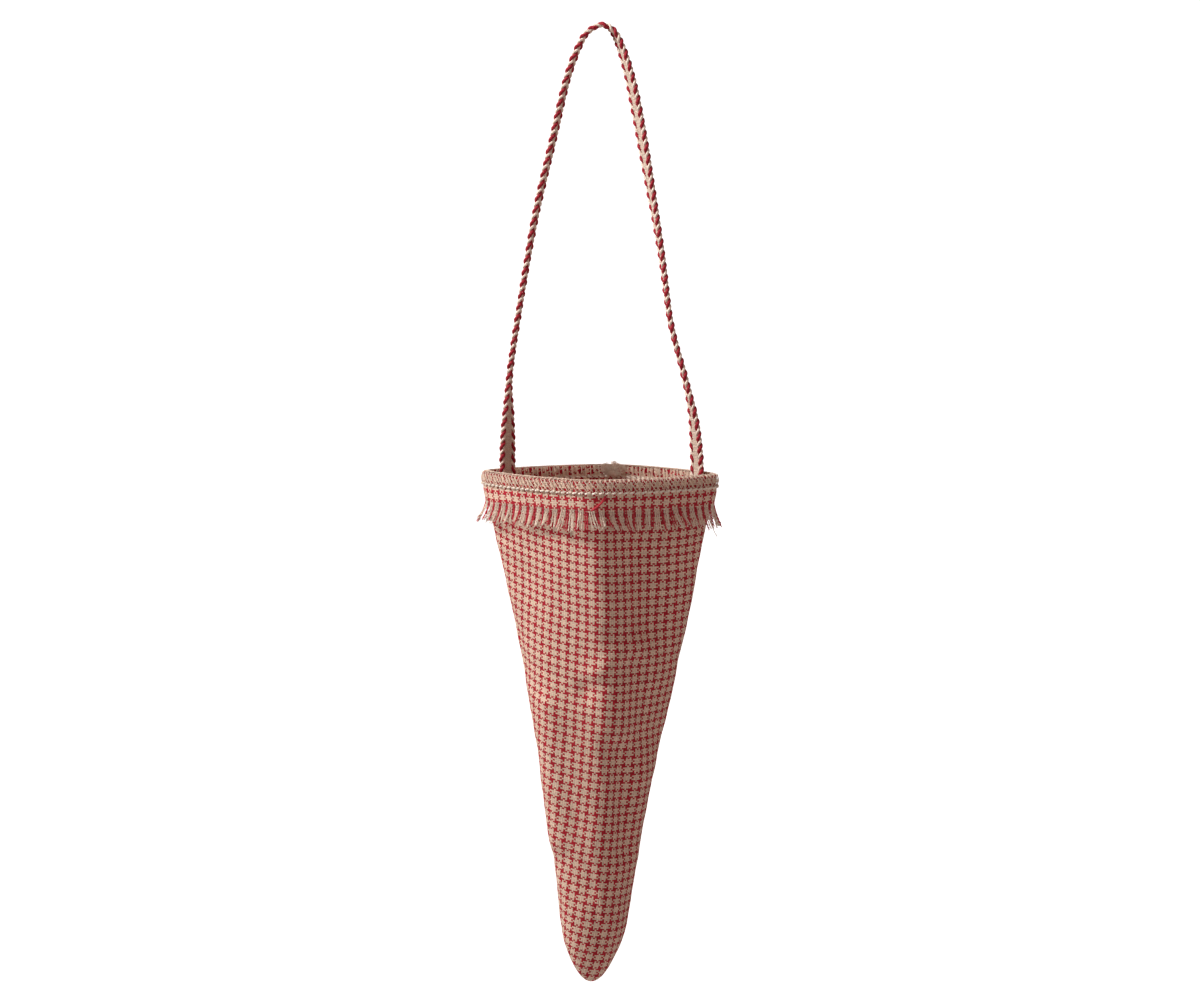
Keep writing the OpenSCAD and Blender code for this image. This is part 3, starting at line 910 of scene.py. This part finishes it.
@dataclass
class Cuff:
    """The band of cloth round the outside of the mouth, and the yarns frayed from its lower edge."""

    form: SackForm
    wardrobe: Wardrobe
    height: float = 12.5 * MM
    gap: float = 0.15 * MM
    thickness: float = 0.7 * MM
    fringe: float = 8.4 * MM
    crimp_length: float = 1.48 * MM
    ply_pitch: float = 2.4 * MM
    yarn_pitch: float = 0.854 * MM
    yarns: int = 295
    columns: int = 590
    seed: int = 41

    def stand(self, share: Array, drop: Array) -> Array:
        """How far the cuff's inner face stands off the wall at a distance below the rim."""
        low = smooth(4 * MM, 15 * MM, drop)
        return self.gap + low * MM * (0.25 + 0.22 * wave_noise(share * GIRTH, 5, 31.0, 3))

    def _band(self) -> bpy.types.Object:
        """Builds the woven band as a closed strip of two faces.

        Returns:
            The band.
        """
        count = 22
        drop = np.linspace(0.0, self.height, count)
        share = np.linspace(0, 1, self.columns + 1)
        share, drop = np.meshgrid(share, drop)
        ragged = 1 + 0.02 * wave_noise(share * GIRTH, 9, 17.0, 3)
        t = drop * ragged / self.form.length
        inner = self.stand(share, drop)
        faces, uvs, verts = [], [], []
        uv = np.stack([share * self.yarns, drop / self.form.weft + 0.6], axis=-1)
        for i, (out, flip) in enumerate(((inner + self.thickness, False), (inner, True))):
            place = self.form.sample(share[:, :-1], t[:, :-1], out[:, :-1])
            verts.append(place.reshape(-1, 3))
            faces.append(grid_faces(count, self.columns, i * count * self.columns, flip))
            uvs.append(grid_uv(uv, flip))
        k = np.arange(self.columns)
        nxt, inside, low = np.roll(k, -1), count * self.columns, (count - 1) * self.columns
        for row, flip in ((0, False), (low, True)):
            ring = np.stack([row + k, row + nxt, inside + row + nxt, inside + row + k], axis=-1)
            level = uv[0 if row == 0 else -1]
            corner = np.stack([level[:-1], level[1:], level[1:] + (0, 0.6), level[:-1] + (0, 0.6)], axis=-2)
            faces.append(ring[:, ::-1] if flip else ring)
            uvs.append(corner[:, ::-1] if flip else corner)
        band = make_mesh("cuff", np.concatenate(verts), faces, uvs)
        dress(band, self.wardrobe.cloth)
        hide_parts("cuff_band")
        return band

    def _yarn_paths(self, numbers: Array, rng: np.random.Generator) -> tuple[Array, Array]:
        """Lays out the frayed plies of some of the warp yarns.

        Args:
            numbers: the yarns' numbers round.
            rng: random numbers.

        Returns:
            Paths and radii, with two plies to a yarn.
        """
        share = (numbers + 0.5) / self.yarns
        around = share * GIRTH
        m = 22
        k = np.linspace(0, 1, m)[None, :]
        place = numbers % 5
        middle = np.where(place < 1.5, 0.5, 3.0)
        pair = np.where(rng.uniform(0, 1, len(share)) < 0.22, 2.4, middle)
        tuft = rng.uniform(0.3, 1.0, self.yarns // 5 + 1)[numbers // 5] + rng.uniform(-0.2, 0.2, len(share))
        gather = (pair - place) * self.yarn_pitch * tuft
        corner = bump(around, 0.25 * GIRTH, 9) + bump(around, 0.75 * GIRTH, 9)
        sweep = MM * (2.1 * np.sin(TURN * (share - 0.5)) + 0.9 * wave_noise(around, 13, 37.0, 3)
                      + 1.1 * wave_noise(around, 19, 8.0, 2))
        pull = gather + sweep * (1 - 0.6 * corner) + rng.normal(0, 0.22 * MM, len(share))
        length = self.fringe * (1 + rng.uniform(-0.12, 0.08, len(share)) + 0.06 * wave_noise(around, 15, 21.0)
                                + 0.22 * bump(around, 0.74 * GIRTH, 6))
        drop = self.height - 0.8 * MM + length[:, None] * k
        side = pull[:, None] * k**1.3
        flare = (3.1 + wave_noise(around, 16, 25.0) + 2.0 * corner)[:, None] * MM * k**1.3
        flare = flare + rng.uniform(-0.7, 1.0, len(share))[:, None] * MM * k**2
        run = length[:, None] * k
        crimp = 0.13 * MM * np.sin(TURN * run / self.crimp_length + math.pi * numbers[:, None])
        stand = (self.stand(share[:, None], np.full_like(drop, self.height)) + 0.5 * self.thickness
                 + flare + crimp)
        paths, radii = [], []
        for ply in PLIES:
            wind = TURN * run / self.ply_pitch + ply + rng.uniform(0, 0.6, len(share))[:, None]
            spread = 0.12 * MM * (1 + 2.2 * smooth(0.75, 1.0, k) * rng.uniform(0, 1, len(share))[:, None])
            aside = (side + spread * np.cos(wind)) / self.form.girth[0]
            paths.append(self.form.sample(share[:, None] + aside, drop / self.form.length,
                                          stand + spread * np.sin(wind)))
            thin = np.where(numbers % 5 < 1.5, 0.18, 0.17)[:, None] * MM
            uneven = rng.uniform(0.88, 1.12, len(share))[:, None]
            radii.append(thin * (1 - 0.25 * smooth(0.85, 1.0, k)) * uneven)
        return np.concatenate(paths), np.concatenate(radii)

    def build(self) -> list[bpy.types.Object]:
        """Builds the band and its fringe.

        Returns:
            The band, the red yarns and the natural yarns.
        """
        band = self._band()
        rng = np.random.default_rng(self.seed)
        numbers = np.arange(self.yarns)
        pieces = [band]
        for name, node, pick, finish, slot in (
                ("fringe_red_yarns", "fringe_red", numbers % 5 < 1.5, self.wardrobe.red, "red_yarn"),
                ("fringe_natural_yarns", "fringe_natural", numbers % 5 >= 1.5, self.wardrobe.natural,
                 "natural_yarn")):
            obj = make_tubes(name, *self._yarn_paths(numbers[pick], rng))
            dress(obj, finish)
            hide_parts(node)
            pieces.append(obj)
        return pieces


# ---------------------------------------------------------------- the stitching


@dataclass
class RimStitching:
    """The overlock over the rim, the top stitch below it and the stitch line inside."""

    form: SackForm
    cuff: Cuff
    wardrobe: Wardrobe
    stitches: int = 120
    height: float = 4.5 * MM
    loft: float = 0.6 * MM
    top_stitches: int = 93
    seed: int = 77

    def _over_rim(self, share: Array, level: Array, out: Array) -> Array:
        """Places near the rim, by share round, metres above it and metres out from the wall's outer face."""
        place = self.form.sample(share, np.maximum(0.0, -level) / self.form.length, out)
        return place + np.maximum(0.0, level)[..., None] * np.array([0, 0, 1.0])

    def _loops(self, lean: float, phase: float, bulk: float, radius: float,
               rng: np.random.Generator) -> tuple[Array, Array]:
        """Paths of one looper thread, from the outside's needle line over the edge to the inside's.

        Args:
            lean: how far the thread leans along the rim as it rises, in stitches.
            phase: where it starts, in stitches.
            bulk: distance of its filaments from its middle, in metres.
            radius: radius of one filament, in metres.
            rng: random numbers.

        Returns:
            Paths and radii.
        """
        n, m = self.stitches, 33
        k = np.linspace(0, 1, m)[None, :]
        outer_face = self.cuff.gap + self.cuff.thickness + self.loft
        inner_face = -self.cuff.thickness - self.loft
        rise = np.clip(k / 0.42, 0, 1)
        fall = np.clip((k - 0.58) / 0.42, 0, 1)
        over = np.clip((k - 0.42) / 0.16, 0, 1)
        level = -self.height * (1 - rise) - self.height * fall + 0.55 * MM * np.sin(math.pi * over)
        out = outer_face + (inner_face - outer_face) * over
        puff = 3.0 * bulk * (np.sin(math.pi * rise) * (k < 0.42) - np.sin(math.pi * fall) * (k > 0.58))
        dip = 0.45 * MM * (np.exp(-(k / 0.03) ** 2) - np.exp(-((1 - k) / 0.03) ** 2))
        paths, radii = [], []
        stray, jitter = rng.normal(0, 0.05, (n, 1)), rng.normal(0, 0.14 * MM, (n, 1)) * np.sin(math.pi * k)
        uneven = rng.normal(0, 0.06 * MM, (n, 1))
        for i in range(3):
            start = (np.arange(n)[:, None] + phase + stray) / n
            slant = (lean * rise + 0.2 * over - 0.3 * fall) / n
            wind = TURN * (k * 4.5 + i / 3) + rng.uniform(0, 1.5, (n, 1))
            side = bulk * np.cos(wind) * (0.5 + 0.8 * np.sin(math.pi * k))
            paths.append(self._over_rim(start + slant + (side + jitter) / self.form.girth[0],
                                        level, out + puff - dip + uneven + bulk * np.sin(wind)))
            radii.append(np.full((n, m), radius) * rng.uniform(0.85, 1.2, (n, 1)))
        return np.concatenate(paths), np.concatenate(radii)

    def _overlock(self) -> bpy.types.Object:
        """Builds the overlock's thick outer thread and its thin inner thread.

        Returns:
            The loops.
        """
        rng = np.random.default_rng(self.seed)
        sets = [self._loops(*shape, rng) for shape in ((-1.5, 0.0, 0.1 * MM, 0.13 * MM),
                                                       (0.9, 0.45, 0.04 * MM, 0.08 * MM))]
        obj = make_tubes("overlock_loops", *(np.concatenate(part) for part in zip(*sets)), 5)
        dress(obj, self.wardrobe.overlock)
        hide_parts("rim_overlock_outer", "rim_overlock_inner", "rim_overlock_edge")
        return obj

    def _chains(self) -> bpy.types.Object:
        """Builds the threads that run along the overlock, at its edge and at its foot inside.

        Returns:
            The threads.
        """
        n = 1800
        share = np.linspace(0, 1, n)[None, :]
        beat = share * self.stitches * TURN
        paths, radii = [], []
        tracks = ((0.45, -self.cuff.thickness / MM - 0.35, 0.2, 0.18),
                  (-4.4, -self.cuff.thickness / MM - 0.4, 0.3, 0.17))
        for i, (level, out, swing, fat) in enumerate(tracks):
            for ply in PLIES:
                paths.append(self._over_rim(share, (level + swing * np.sin(beat + ply)) * MM,
                                            (out + 0.15 * np.cos(beat + ply + i)) * MM))
                radii.append(np.full((1, n), fat * MM))
        obj = make_tubes("overlock_chain", np.concatenate(paths), np.concatenate(radii), 5)
        dress(obj, self.wardrobe.overlock)
        return obj

    def _row(self, name: str, out: float, drop: float, skip: list[float]) -> bpy.types.Object:
        """Builds a row of two-ply stitches that dip into the cloth at both ends.

        Args:
            name: the piece's name.
            out: how far the row stands from the wall's outer face, in metres.
            drop: how far below the rim it runs, in metres.
            skip: shares round to leave out, where another piece covers the cloth.

        Returns:
            The row.
        """
        n, m = self.top_stitches, 14
        k = np.linspace(0, 1, m)[None, :]
        i = np.arange(n)[:, None]
        middle = (i + 0.5)[:, 0] / n
        for gap in skip:
            clear = np.abs((middle - gap + 0.5) % 1 - 0.5) > 0.02
            i, middle = i[clear], middle[clear]
        sign = 1.0 if out > 0 else -1.0
        paths, radii = [], []
        for ply in PLIES:
            wind = TURN * k * 1.25 + ply
            share = (i + 0.06 + 0.88 * k + 0.012 * np.cos(wind)) / n
            hump = np.sin(math.pi * k) ** 0.5 * 0.65 * MM - 0.12 * MM
            level = -drop + 0.32 * MM * (k - 0.5) * 2 + 0.2 * MM * np.sin(wind)
            stand = out + sign * (hump + 0.18 * MM * np.cos(wind))
            paths.append(self.form.sample(share, -level / self.form.length, stand))
            radii.append(0.34 * MM * (0.45 + 0.55 * np.sin(math.pi * k)) * np.ones_like(i))
        obj = make_tubes(name, np.concatenate(paths), np.concatenate(radii))
        dress(obj, self.wardrobe.cream)
        return obj

    def build(self) -> list[bpy.types.Object]:
        """Builds all the stitching at the rim.

        Returns:
            The overlock, its chains, the top stitch and the stitch line inside.
        """
        drop = self.height + 0.45 * MM
        outside = self.cuff.gap + self.cuff.thickness + 0.25 * MM
        top = self._row("top_stitch", outside, drop, [])
        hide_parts("rim_topstitch")
        under = self._row("bobbin_stitch", -self.cuff.thickness - 0.1 * MM, drop, [0.2, 0.8])
        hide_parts("rim_bobbin_stitch")
        return [self._overlock(), self._chains(), top, under]


@dataclass
class LooseThreads:
    """The tuft of thread ends at the back of the rim, and two stray yarns on the cuff."""

    form: SackForm
    cuff: Cuff
    wardrobe: Wardrobe
    fibres: int = 260
    seed: int = 5

    def _tuft(self) -> bpy.types.Object:
        """Builds the fuzzy end of the overlock thread.

        Returns:
            The tuft.
        """
        rng = np.random.default_rng(self.seed)
        m, n = 14, self.fibres
        k = np.linspace(0, 1, m)[None, :]
        root = rng.normal(0, 1, (n, 1))
        x = root * 2.6 + rng.normal(0, 1, (n, 1)) * 2.0 * k + 0.9 * np.sin(k * rng.uniform(2, 9, (n, 1)))
        level = -3.2 + rng.uniform(-1.6, 2.2, (n, 1)) + rng.uniform(0.0, 4.2, (n, 1)) * k
        level = level + 0.5 * np.cos(k * rng.uniform(2, 8, (n, 1)))
        level = np.minimum(level, 1.7 - 0.05 * x * x + 0.9 * rng.uniform(0, 1, (n, 1)))
        inward = 2.3 + 1.2 * rng.uniform(0, 1, (n, 1)) + 0.8 * np.sin(k * rng.uniform(1, 6, (n, 1)) + root)
        place = self.form.sample(-(x + 1.0) / GIRTH, np.maximum(0, -level * MM) / self.form.length,
                                 -inward * MM)
        place = place + np.maximum(0, level * MM)[..., None] * np.array([0, 0, 1.0])
        obj = make_tubes("overlock_tuft", place, rng.uniform(0.06, 0.13, (n, 1)) * MM * np.ones((1, m)), 4)
        dress(obj, self.wardrobe.overlock)
        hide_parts("overlock_tail")
        return obj

    def _stray(self, name: str, share: tuple[float, float], drop: tuple[float, float], lift: float,
               radius: float, finish: bpy.types.Material) -> bpy.types.Object:
        """Builds one stray yarn that lies over the cuff.

        Args:
            name: the piece's name.
            share: shares round of its two ends.
            drop: distances below the rim of its two ends, in metres.
            lift: how far its lower end stands off, in metres.
            radius: the yarn's radius.
            finish: its material.

        Returns:
            The yarn.
        """
        k = np.linspace(0, 1, 18)[None, :]
        paths = []
        for ply in PLIES:
            wind = k * 22 + ply
            s = share[0] + (share[1] - share[0]) * k + 0.0016 * np.sin(k * 4)
            d = drop[0] + (drop[1] - drop[0]) * k
            out = self.cuff.stand(s, d) + self.cuff.thickness + radius * 1.4 + lift * k**2
            orbit = radius * 0.8
            paths.append(self.form.sample(s + orbit * np.cos(wind) / (GIRTH * MM), d / self.form.length,
                                          out + orbit * np.sin(wind)))
        obj = make_tubes(name, np.concatenate(paths), np.full((2, 18), radius))
        dress(obj, finish)
        return obj

    def build(self) -> list[bpy.types.Object]:
        """Builds the tuft and the stray yarns.

        Returns:
            The three pieces.
        """
        return [self._tuft(),
                self._stray("stray_red_yarn", (0.528, 0.506), (6.4 * MM, 12.0 * MM), 0.5 * MM, 0.36 * MM,
                            self.wardrobe.red),
                self._stray("stray_cream_yarn", (0.742, 0.751), (17.0 * MM, 26.0 * MM), 4.5 * MM, 0.11 * MM,
                            self.wardrobe.cream)]


# ---------------------------------------------------------------- the handle


@dataclass
class HandleRoute:
    """The line of the handle from one sewn end up over the hook to the other, as in the CAD."""

    half: float
    hinge_z: float
    foot_z: float
    left: tuple = ((1, 0), (0.99, 0.1), (0.97, 0.2), (0.86, 0.36), (0.7, 0.56), (0.51, 0.74), (0.36, 0.88),
                   (0.21, 0.965), (0.1, 0.992))
    right: tuple = ((0.09, 0.992), (0.17, 0.965), (0.27, 0.9), (0.36, 0.81), (0.49, 0.65), (0.62, 0.48),
                    (0.72, 0.32), (0.86, 0.2), (0.96, 0.1), (1, 0))
    turns: tuple = ((0, 43.6), (0.02, 46), (0.09, 95), (0.17, 96), (0.22, 89), (0.32, 89), (0.4, 96),
                    (0.5, 106), (0.6, 120), (0.68, 130), (0.72, 127), (0.76, 114), (0.81, 105), (0.87, 103),
                    (0.93, 112), (0.98, 136.4), (1, 136.4))
    crown: float = 1.3 * MM
    points: Array = field(init=False)
    across: Array = field(init=False)
    facing: Array = field(init=False)
    run: Array = field(init=False)

    def __post_init__(self) -> None:
        """Lays out the line evenly, with the braid's two directions across it."""
        height = self.crown - self.hinge_z
        line = [(-x * self.half, 0, self.hinge_z + y * height) for x, y in self.left]
        line += [(0, 0, self.crown)]
        line += [(x * self.half, 0, self.hinge_z + y * height) for x, y in self.right]
        knots = np.array(line)
        s = np.linspace(0, 1, 1601)
        points = self._spline(knots, s)
        turn = np.interp(s, [a for a, _ in self.turns], [b for _, b in self.turns])
        blur = np.exp(-0.5 * (np.arange(-60, 61) / 22.0) ** 2)
        turn = np.convolve(np.pad(turn, 60, mode="edge"), blur / blur.sum(), mode="valid")
        foot = self.hinge_z - self.foot_z
        below = np.linspace(foot, 0, 60, endpoint=False)[:, None] * np.array([0, 0, 1.0])
        points = np.concatenate([points[0] - below, points, (points[-1] - below)[::-1]])
        turn = np.radians(np.pad(turn, 60, mode="edge"))
        run = run_along(points)
        even = np.linspace(0, run[-1], 2400)
        self.points = np.stack([np.interp(even, run, points[:, k]) for k in range(3)], axis=-1)
        turn = np.interp(even, run, turn)
        along = unit(np.gradient(self.points, axis=0))
        flat = np.stack([np.cos(turn), np.sin(turn), 0 * turn], axis=-1)
        self.across = unit(flat - along * np.sum(flat * along, axis=-1, keepdims=True))
        self.facing = np.cross(along, self.across)
        self.run = even

    @staticmethod
    def _spline(knots: Array, s: Array) -> Array:
        """Runs a smooth curve through knots.

        Args:
            knots: the points it passes.
            s: shares of its spans, from 0 to 1.

        Returns:
            Its points at those shares.
        """
        last = len(knots) - 1
        padded = np.concatenate([[2 * knots[0] - knots[1]], knots, [2 * knots[-1] - knots[-2]]])
        i = np.minimum((s * last).astype(int), last - 1)
        u = (s * last - i)[:, None]
        a, b, c, d = (padded[i + k] for k in range(4))
        return 0.5 * (2 * b + (c - a) * u + (2 * a - 5 * b + 4 * c - d) * u**2
                      + (3 * b - a - 3 * c + d) * u**3)


@dataclass
class Handle:
    """The flat braid with a two-ply cord along each edge, sewn into the mouth at both ends."""

    route: HandleRoute
    wardrobe: Wardrobe
    ribs: int = 5
    width: float = 4.0 * MM
    thickness: float = 1.25 * MM
    plait: float = 1.5 * MM
    cord_offset: float = 2.8 * MM
    red_ply: tuple[float, float] = (0.62 * MM, 0.74 * MM)
    natural_ply: tuple[float, float] = (0.62 * MM, 0.57 * MM)
    cord_pitch: float = 5.2 * MM

    @classmethod
    def from_frame(cls, wardrobe: Wardrobe) -> "Handle":
        """Takes the handle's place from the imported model.

        Args:
            wardrobe: the finishes.

        Returns:
            The handle, ready to build.
        """
        low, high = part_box("right_tape_end")
        hinge = frame["joints"][0]["pos_m"][2]
        return cls(HandleRoute(half=(low.x + high.x) / 2, hinge_z=hinge, foot_z=low.z), wardrobe)

    def _tape(self) -> bpy.types.Object:
        """Builds the ribbed tape as a closed strip.

        Returns:
            The tape, not yet dressed.
        """
        r = self.route
        lanes = 8 * self.ribs
        w = np.linspace(-1, 1, lanes + 1)[None, :]
        lane = (w + 1) / 2 * self.ribs
        rib = np.abs(np.sin(math.pi * lane))
        sign = np.where(np.floor(np.minimum(lane, self.ribs - 0.01)) % 2 == 0, 1.0, -1.0)
        lean = (lane - np.floor(lane) - 0.5) * sign
        beat = np.cos(TURN * (r.run[:, None] / self.plait + 0.55 * lean))
        relief = 0.62 + 0.3 * rib**0.7 + 0.1 * beat * rib
        edge = np.sqrt(np.clip(1 - np.abs(w) ** 8, 0, 1))
        half = 0.5 * self.thickness * relief * (0.25 + 0.75 * edge)
        side = r.across[:, None] * (w * self.width / 2)[..., None]
        top = r.points[:, None] + side + r.facing[:, None] * half[..., None]
        low = r.points[:, None] + side - r.facing[:, None] * half[..., None]
        ring = np.concatenate([top, low[:, ::-1]], axis=1)
        rows, n = ring.shape[:2]
        run = np.broadcast_to(r.run[:, None] / MM, (rows, n + 1))
        lanes_uv = np.concatenate([lane[0], lane[0][::-1], lane[0][:1]])[None, :] * 0.5
        uv = np.stack([run, np.broadcast_to(lanes_uv, (rows, n + 1))], axis=-1)
        ends = np.stack([np.arange(n), (rows - 1) * n + np.arange(n)[::-1]])
        return make_mesh("handle_braid", ring.reshape(-1, 3), [grid_faces(rows, n, 0, False), ends],
                         [grid_uv(uv, False), np.zeros((2, n, 2))])

    def _ply(self, name: str, edge: float, twist: Twist, start: float, orbit: float,
             radius: float) -> bpy.types.Object:
        """Builds one ply of an edge cord.

        Args:
            name: the piece's name.
            edge: -1 for the front edge and 1 for the back edge.
            twist: the way the plies wind.
            start: the ply's angle at the start, in radians.
            orbit: distance of the ply's middle from the cord's, in metres.
            radius: the ply's radius, in metres.

        Returns:
            The ply.
        """
        r = self.route
        slack = 0.9 * np.sin(r.run / (37 * MM)) + 0.4 * np.sin(r.run / (13 * MM))
        wind = twist.value * (TURN * r.run / self.cord_pitch + slack) + start
        centre = r.points + r.across * edge * self.cord_offset
        path = centre + orbit * (r.across * np.cos(wind)[:, None] + r.facing * np.sin(wind)[:, None])
        swell = 1 + 0.05 * np.sin(r.run / (3.1 * MM) + start * 3)
        return make_tubes(name, path[None], (radius * swell)[None], 10)

    def build(self) -> list[bpy.types.Object]:
        """Builds the whole handle, which bends where it leaves the mouth.

        Returns:
            The tape and the four plies of its edge cords.
        """
        tape = self._tape()
        dress(tape, self.wardrobe.tape, None)
        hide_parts("handle_tape", "left_tape_end", "right_tape_end")
        pieces = [tape]
        for label, edge, twist, node in (("front", -1.0, Twist.Z, "handle_front_cord"),
                                         ("back", 1.0, Twist.S, "handle_back_cord")):
            for ply, finish, start, size in (("red", self.wardrobe.cord_red, 0.6, self.red_ply),
                                             ("natural", self.wardrobe.cord_natural, 0.6 + math.pi,
                                              self.natural_ply)):
                obj = self._ply(f"{label}_cord_{ply}_ply", edge, twist, start, *size)
                dress(obj, finish, None)
                if ply == "red":
                    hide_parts(node, "left_cord_ends", "right_cord_ends")
                pieces.append(obj)
        for obj in pieces:
            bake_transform(obj)
        return pieces

    def end_stitches(self) -> bpy.types.Object:
        """Builds the stitches that cross the handle's sewn ends.

        Returns:
            The stitches.
        """
        r = self.route
        paths = []
        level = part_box("rim_topstitch")
        z = (level[0].z + level[1].z) / 2
        k = np.linspace(0, 1, 12)[:, None]
        for row in (int(np.argmin(np.abs(r.points[:400, 2] - z))),
                    2000 + int(np.argmin(np.abs(r.points[2000:, 2] - z)))):
            inward = 1.0 if r.facing[row, 1] < 0 else -1.0
            for i in range(2):
                w = (i - 1 + 0.1 + 0.8 * k) * 2.1 * MM
                lift = (0.62 + 0.25 * np.sin(math.pi * k)) * MM
                paths.append(r.points[row] + r.across[row] * w + r.facing[row] * lift * inward)
        obj = make_tubes("handle_end_stitching", np.array(paths), np.full((len(paths), 12), 0.22 * MM))
        dress(obj, self.wardrobe.cream)
        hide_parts("handle_end_stitches")
        return obj


# ---------------------------------------------------------------- the studio


@dataclass
class Studio:
    """The camera, the lights and the plain pale backdrop."""

    distance: float = 1.4
    turn: float = math.radians(10)
    height: float = -0.041
    pitch: float = math.radians(6.02)
    lens: float = 96.78
    shift: float = -0.03
    aside: float = -0.0008

    def camera(self) -> None:
        """Places the camera."""
        data = bpy.data.cameras.new("camera")
        data.sensor_width, data.lens, data.shift_y = 36.0, self.lens, self.shift
        data.clip_start = 0.01
        place = Vector((self.distance * math.sin(self.turn), -self.distance * math.cos(self.turn),
                        self.height))
        target = Vector((self.aside, 0.0, self.height - self.distance * math.tan(self.pitch)))
        camera = bpy.data.objects.new("camera", data)
        camera.location = place
        camera.rotation_euler = (target - place).to_track_quat("-Z", "Y").to_euler()
        bpy.context.scene.collection.objects.link(camera)
        bpy.context.scene.camera = camera

    def _light(self, name: str, place: tuple, size: float, power: float, target: tuple,
               colour: tuple = (1.0, 1.0, 1.0)) -> None:
        """Adds one soft square light that looks at a target.

        Args:
            name: the light's name.
            place: where it stands.
            size: its side, in metres.
            power: its power, in watts.
            target: the point it looks at.
            colour: its colour.
        """
        data = bpy.data.lights.new(name, "AREA")
        data.size, data.energy, data.color = size, power, colour
        lamp = bpy.data.objects.new(name, data)
        lamp.location = place
        lamp.rotation_euler = (Vector(target) - Vector(place)).to_track_quat("-Z", "Y").to_euler()
        bpy.context.scene.collection.objects.link(lamp)

    def lights(self) -> None:
        """Adds the key light from the upper left, and even light from all round."""
        self._light("key", (-1.03, -0.5, 0.75), 0.42, 26.0, (0, 0, -0.2))
        self._light("right_fill", (0.85, -0.75, 0.3), 0.8, 1.5, (0, 0, -0.2), (1.0, 0.73, 0.68))
        world = bpy.data.worlds.new("studio")
        bpy.context.scene.world = world
        world.use_nodes = True
        sheet = NodeSheet(world.node_tree)
        soft = world.node_tree.nodes["Background"]
        soft.inputs[0].default_value = (1.0, 0.77, 0.72, 1)
        soft.inputs[1].default_value = 0.225
        pale = sheet.add("ShaderNodeBackground")
        pale.inputs[0].default_value, pale.inputs[1].default_value = (1, 1, 1, 1), 1.0
        seen, join = sheet.add("ShaderNodeLightPath"), sheet.add("ShaderNodeMixShader")
        sheet.plug(join.inputs[0], seen.outputs["Is Camera Ray"])
        sheet.plug(join.inputs[1], soft.outputs[0])
        sheet.plug(join.inputs[2], pale.outputs[0])
        sheet.plug(world.node_tree.nodes["World Output"].inputs[0], join.outputs[0])

    def _paper(self, name: str, profile: list[tuple[float, float]], glow: float) -> None:
        """Hangs or lays a wide sheet of white paper, which the camera sees glow evenly.

        Args:
            name: the sheet's name.
            profile: its line from front to back, as y and z in metres.
            glow: how strongly it glows.
        """
        xs = np.linspace(-8, 8, 5)
        verts = np.array([(x, y, z) for y, z in profile for x in xs])
        n = len(xs)
        quads = np.array([[r * n + k, r * n + k + 1, (r + 1) * n + k + 1, (r + 1) * n + k]
                          for r in range(len(profile) - 1) for k in range(n - 1)])
        obj = make_mesh(name, verts, [quads], [np.zeros((len(quads), 4, 2))])
        material = bpy.data.materials.new(name + "_paper")
        material.use_nodes = True
        shader = material.node_tree.nodes["Principled BSDF"]
        shader.inputs["Base Color"].default_value = (0.92, 0.92, 0.92, 1)
        shader.inputs["Roughness"].default_value = 1.0
        shader.inputs["Specular IOR Level"].default_value = 0.0
        shader.inputs["Emission Color"].default_value = (1, 1, 1, 1)
        sheet = NodeSheet(material.node_tree)
        seen = sheet.add("ShaderNodeLightPath").outputs["Is Camera Ray"]
        sheet.plug(shader.inputs["Emission Strength"], sheet.math("MULTIPLY", seen, glow))
        obj.data.materials.append(material)

    def backdrop(self) -> None:
        """Lays a pale floor far below the sack, and hangs a white sheet that curves up behind it."""
        floor, edge, back, bend = -1.15, 1.3, 2.3, 0.8
        curve = [(back - bend + bend * math.sin(a), floor + bend - bend * math.cos(a))
                 for a in np.linspace(0, math.pi / 2, 20)]
        self._paper("floor", [(-8.0, floor), (edge, floor)], 0.7)
        self._paper("backdrop", [(edge, floor), *curve, (back, 2.6)], 0.85)

    def build(self) -> None:
        """Builds the studio."""
        self.camera()
        self.lights()
        self.backdrop()
        bpy.context.scene.view_settings.view_transform = "Standard"


def main() -> None:
    """Builds every part of the sack in order."""
    logging.basicConfig(level=logging.INFO, format="%(name)s: %(message)s")
    Studio().build()
    wardrobe = Wardrobe()
    form = SackForm.from_frame()
    log.info("form: girth at the rim %.1f mm", form.girth[0] / MM)
    log.info("built %s", ConePanel(form, wardrobe).build().name)
    cuff = Cuff(form, wardrobe)
    pieces = BackSeam(form, wardrobe).build() + cuff.build()
    pieces += RimStitching(form, cuff, wardrobe).build() + LooseThreads(form, cuff, wardrobe).build()
    handle = Handle.from_frame(wardrobe)
    pieces += handle.build() + [handle.end_stitches()]
    for piece in pieces:
        log.info("built %s with %d faces", piece.name, len(piece.data.polygons))


if __name__ == "__main__":
    main()
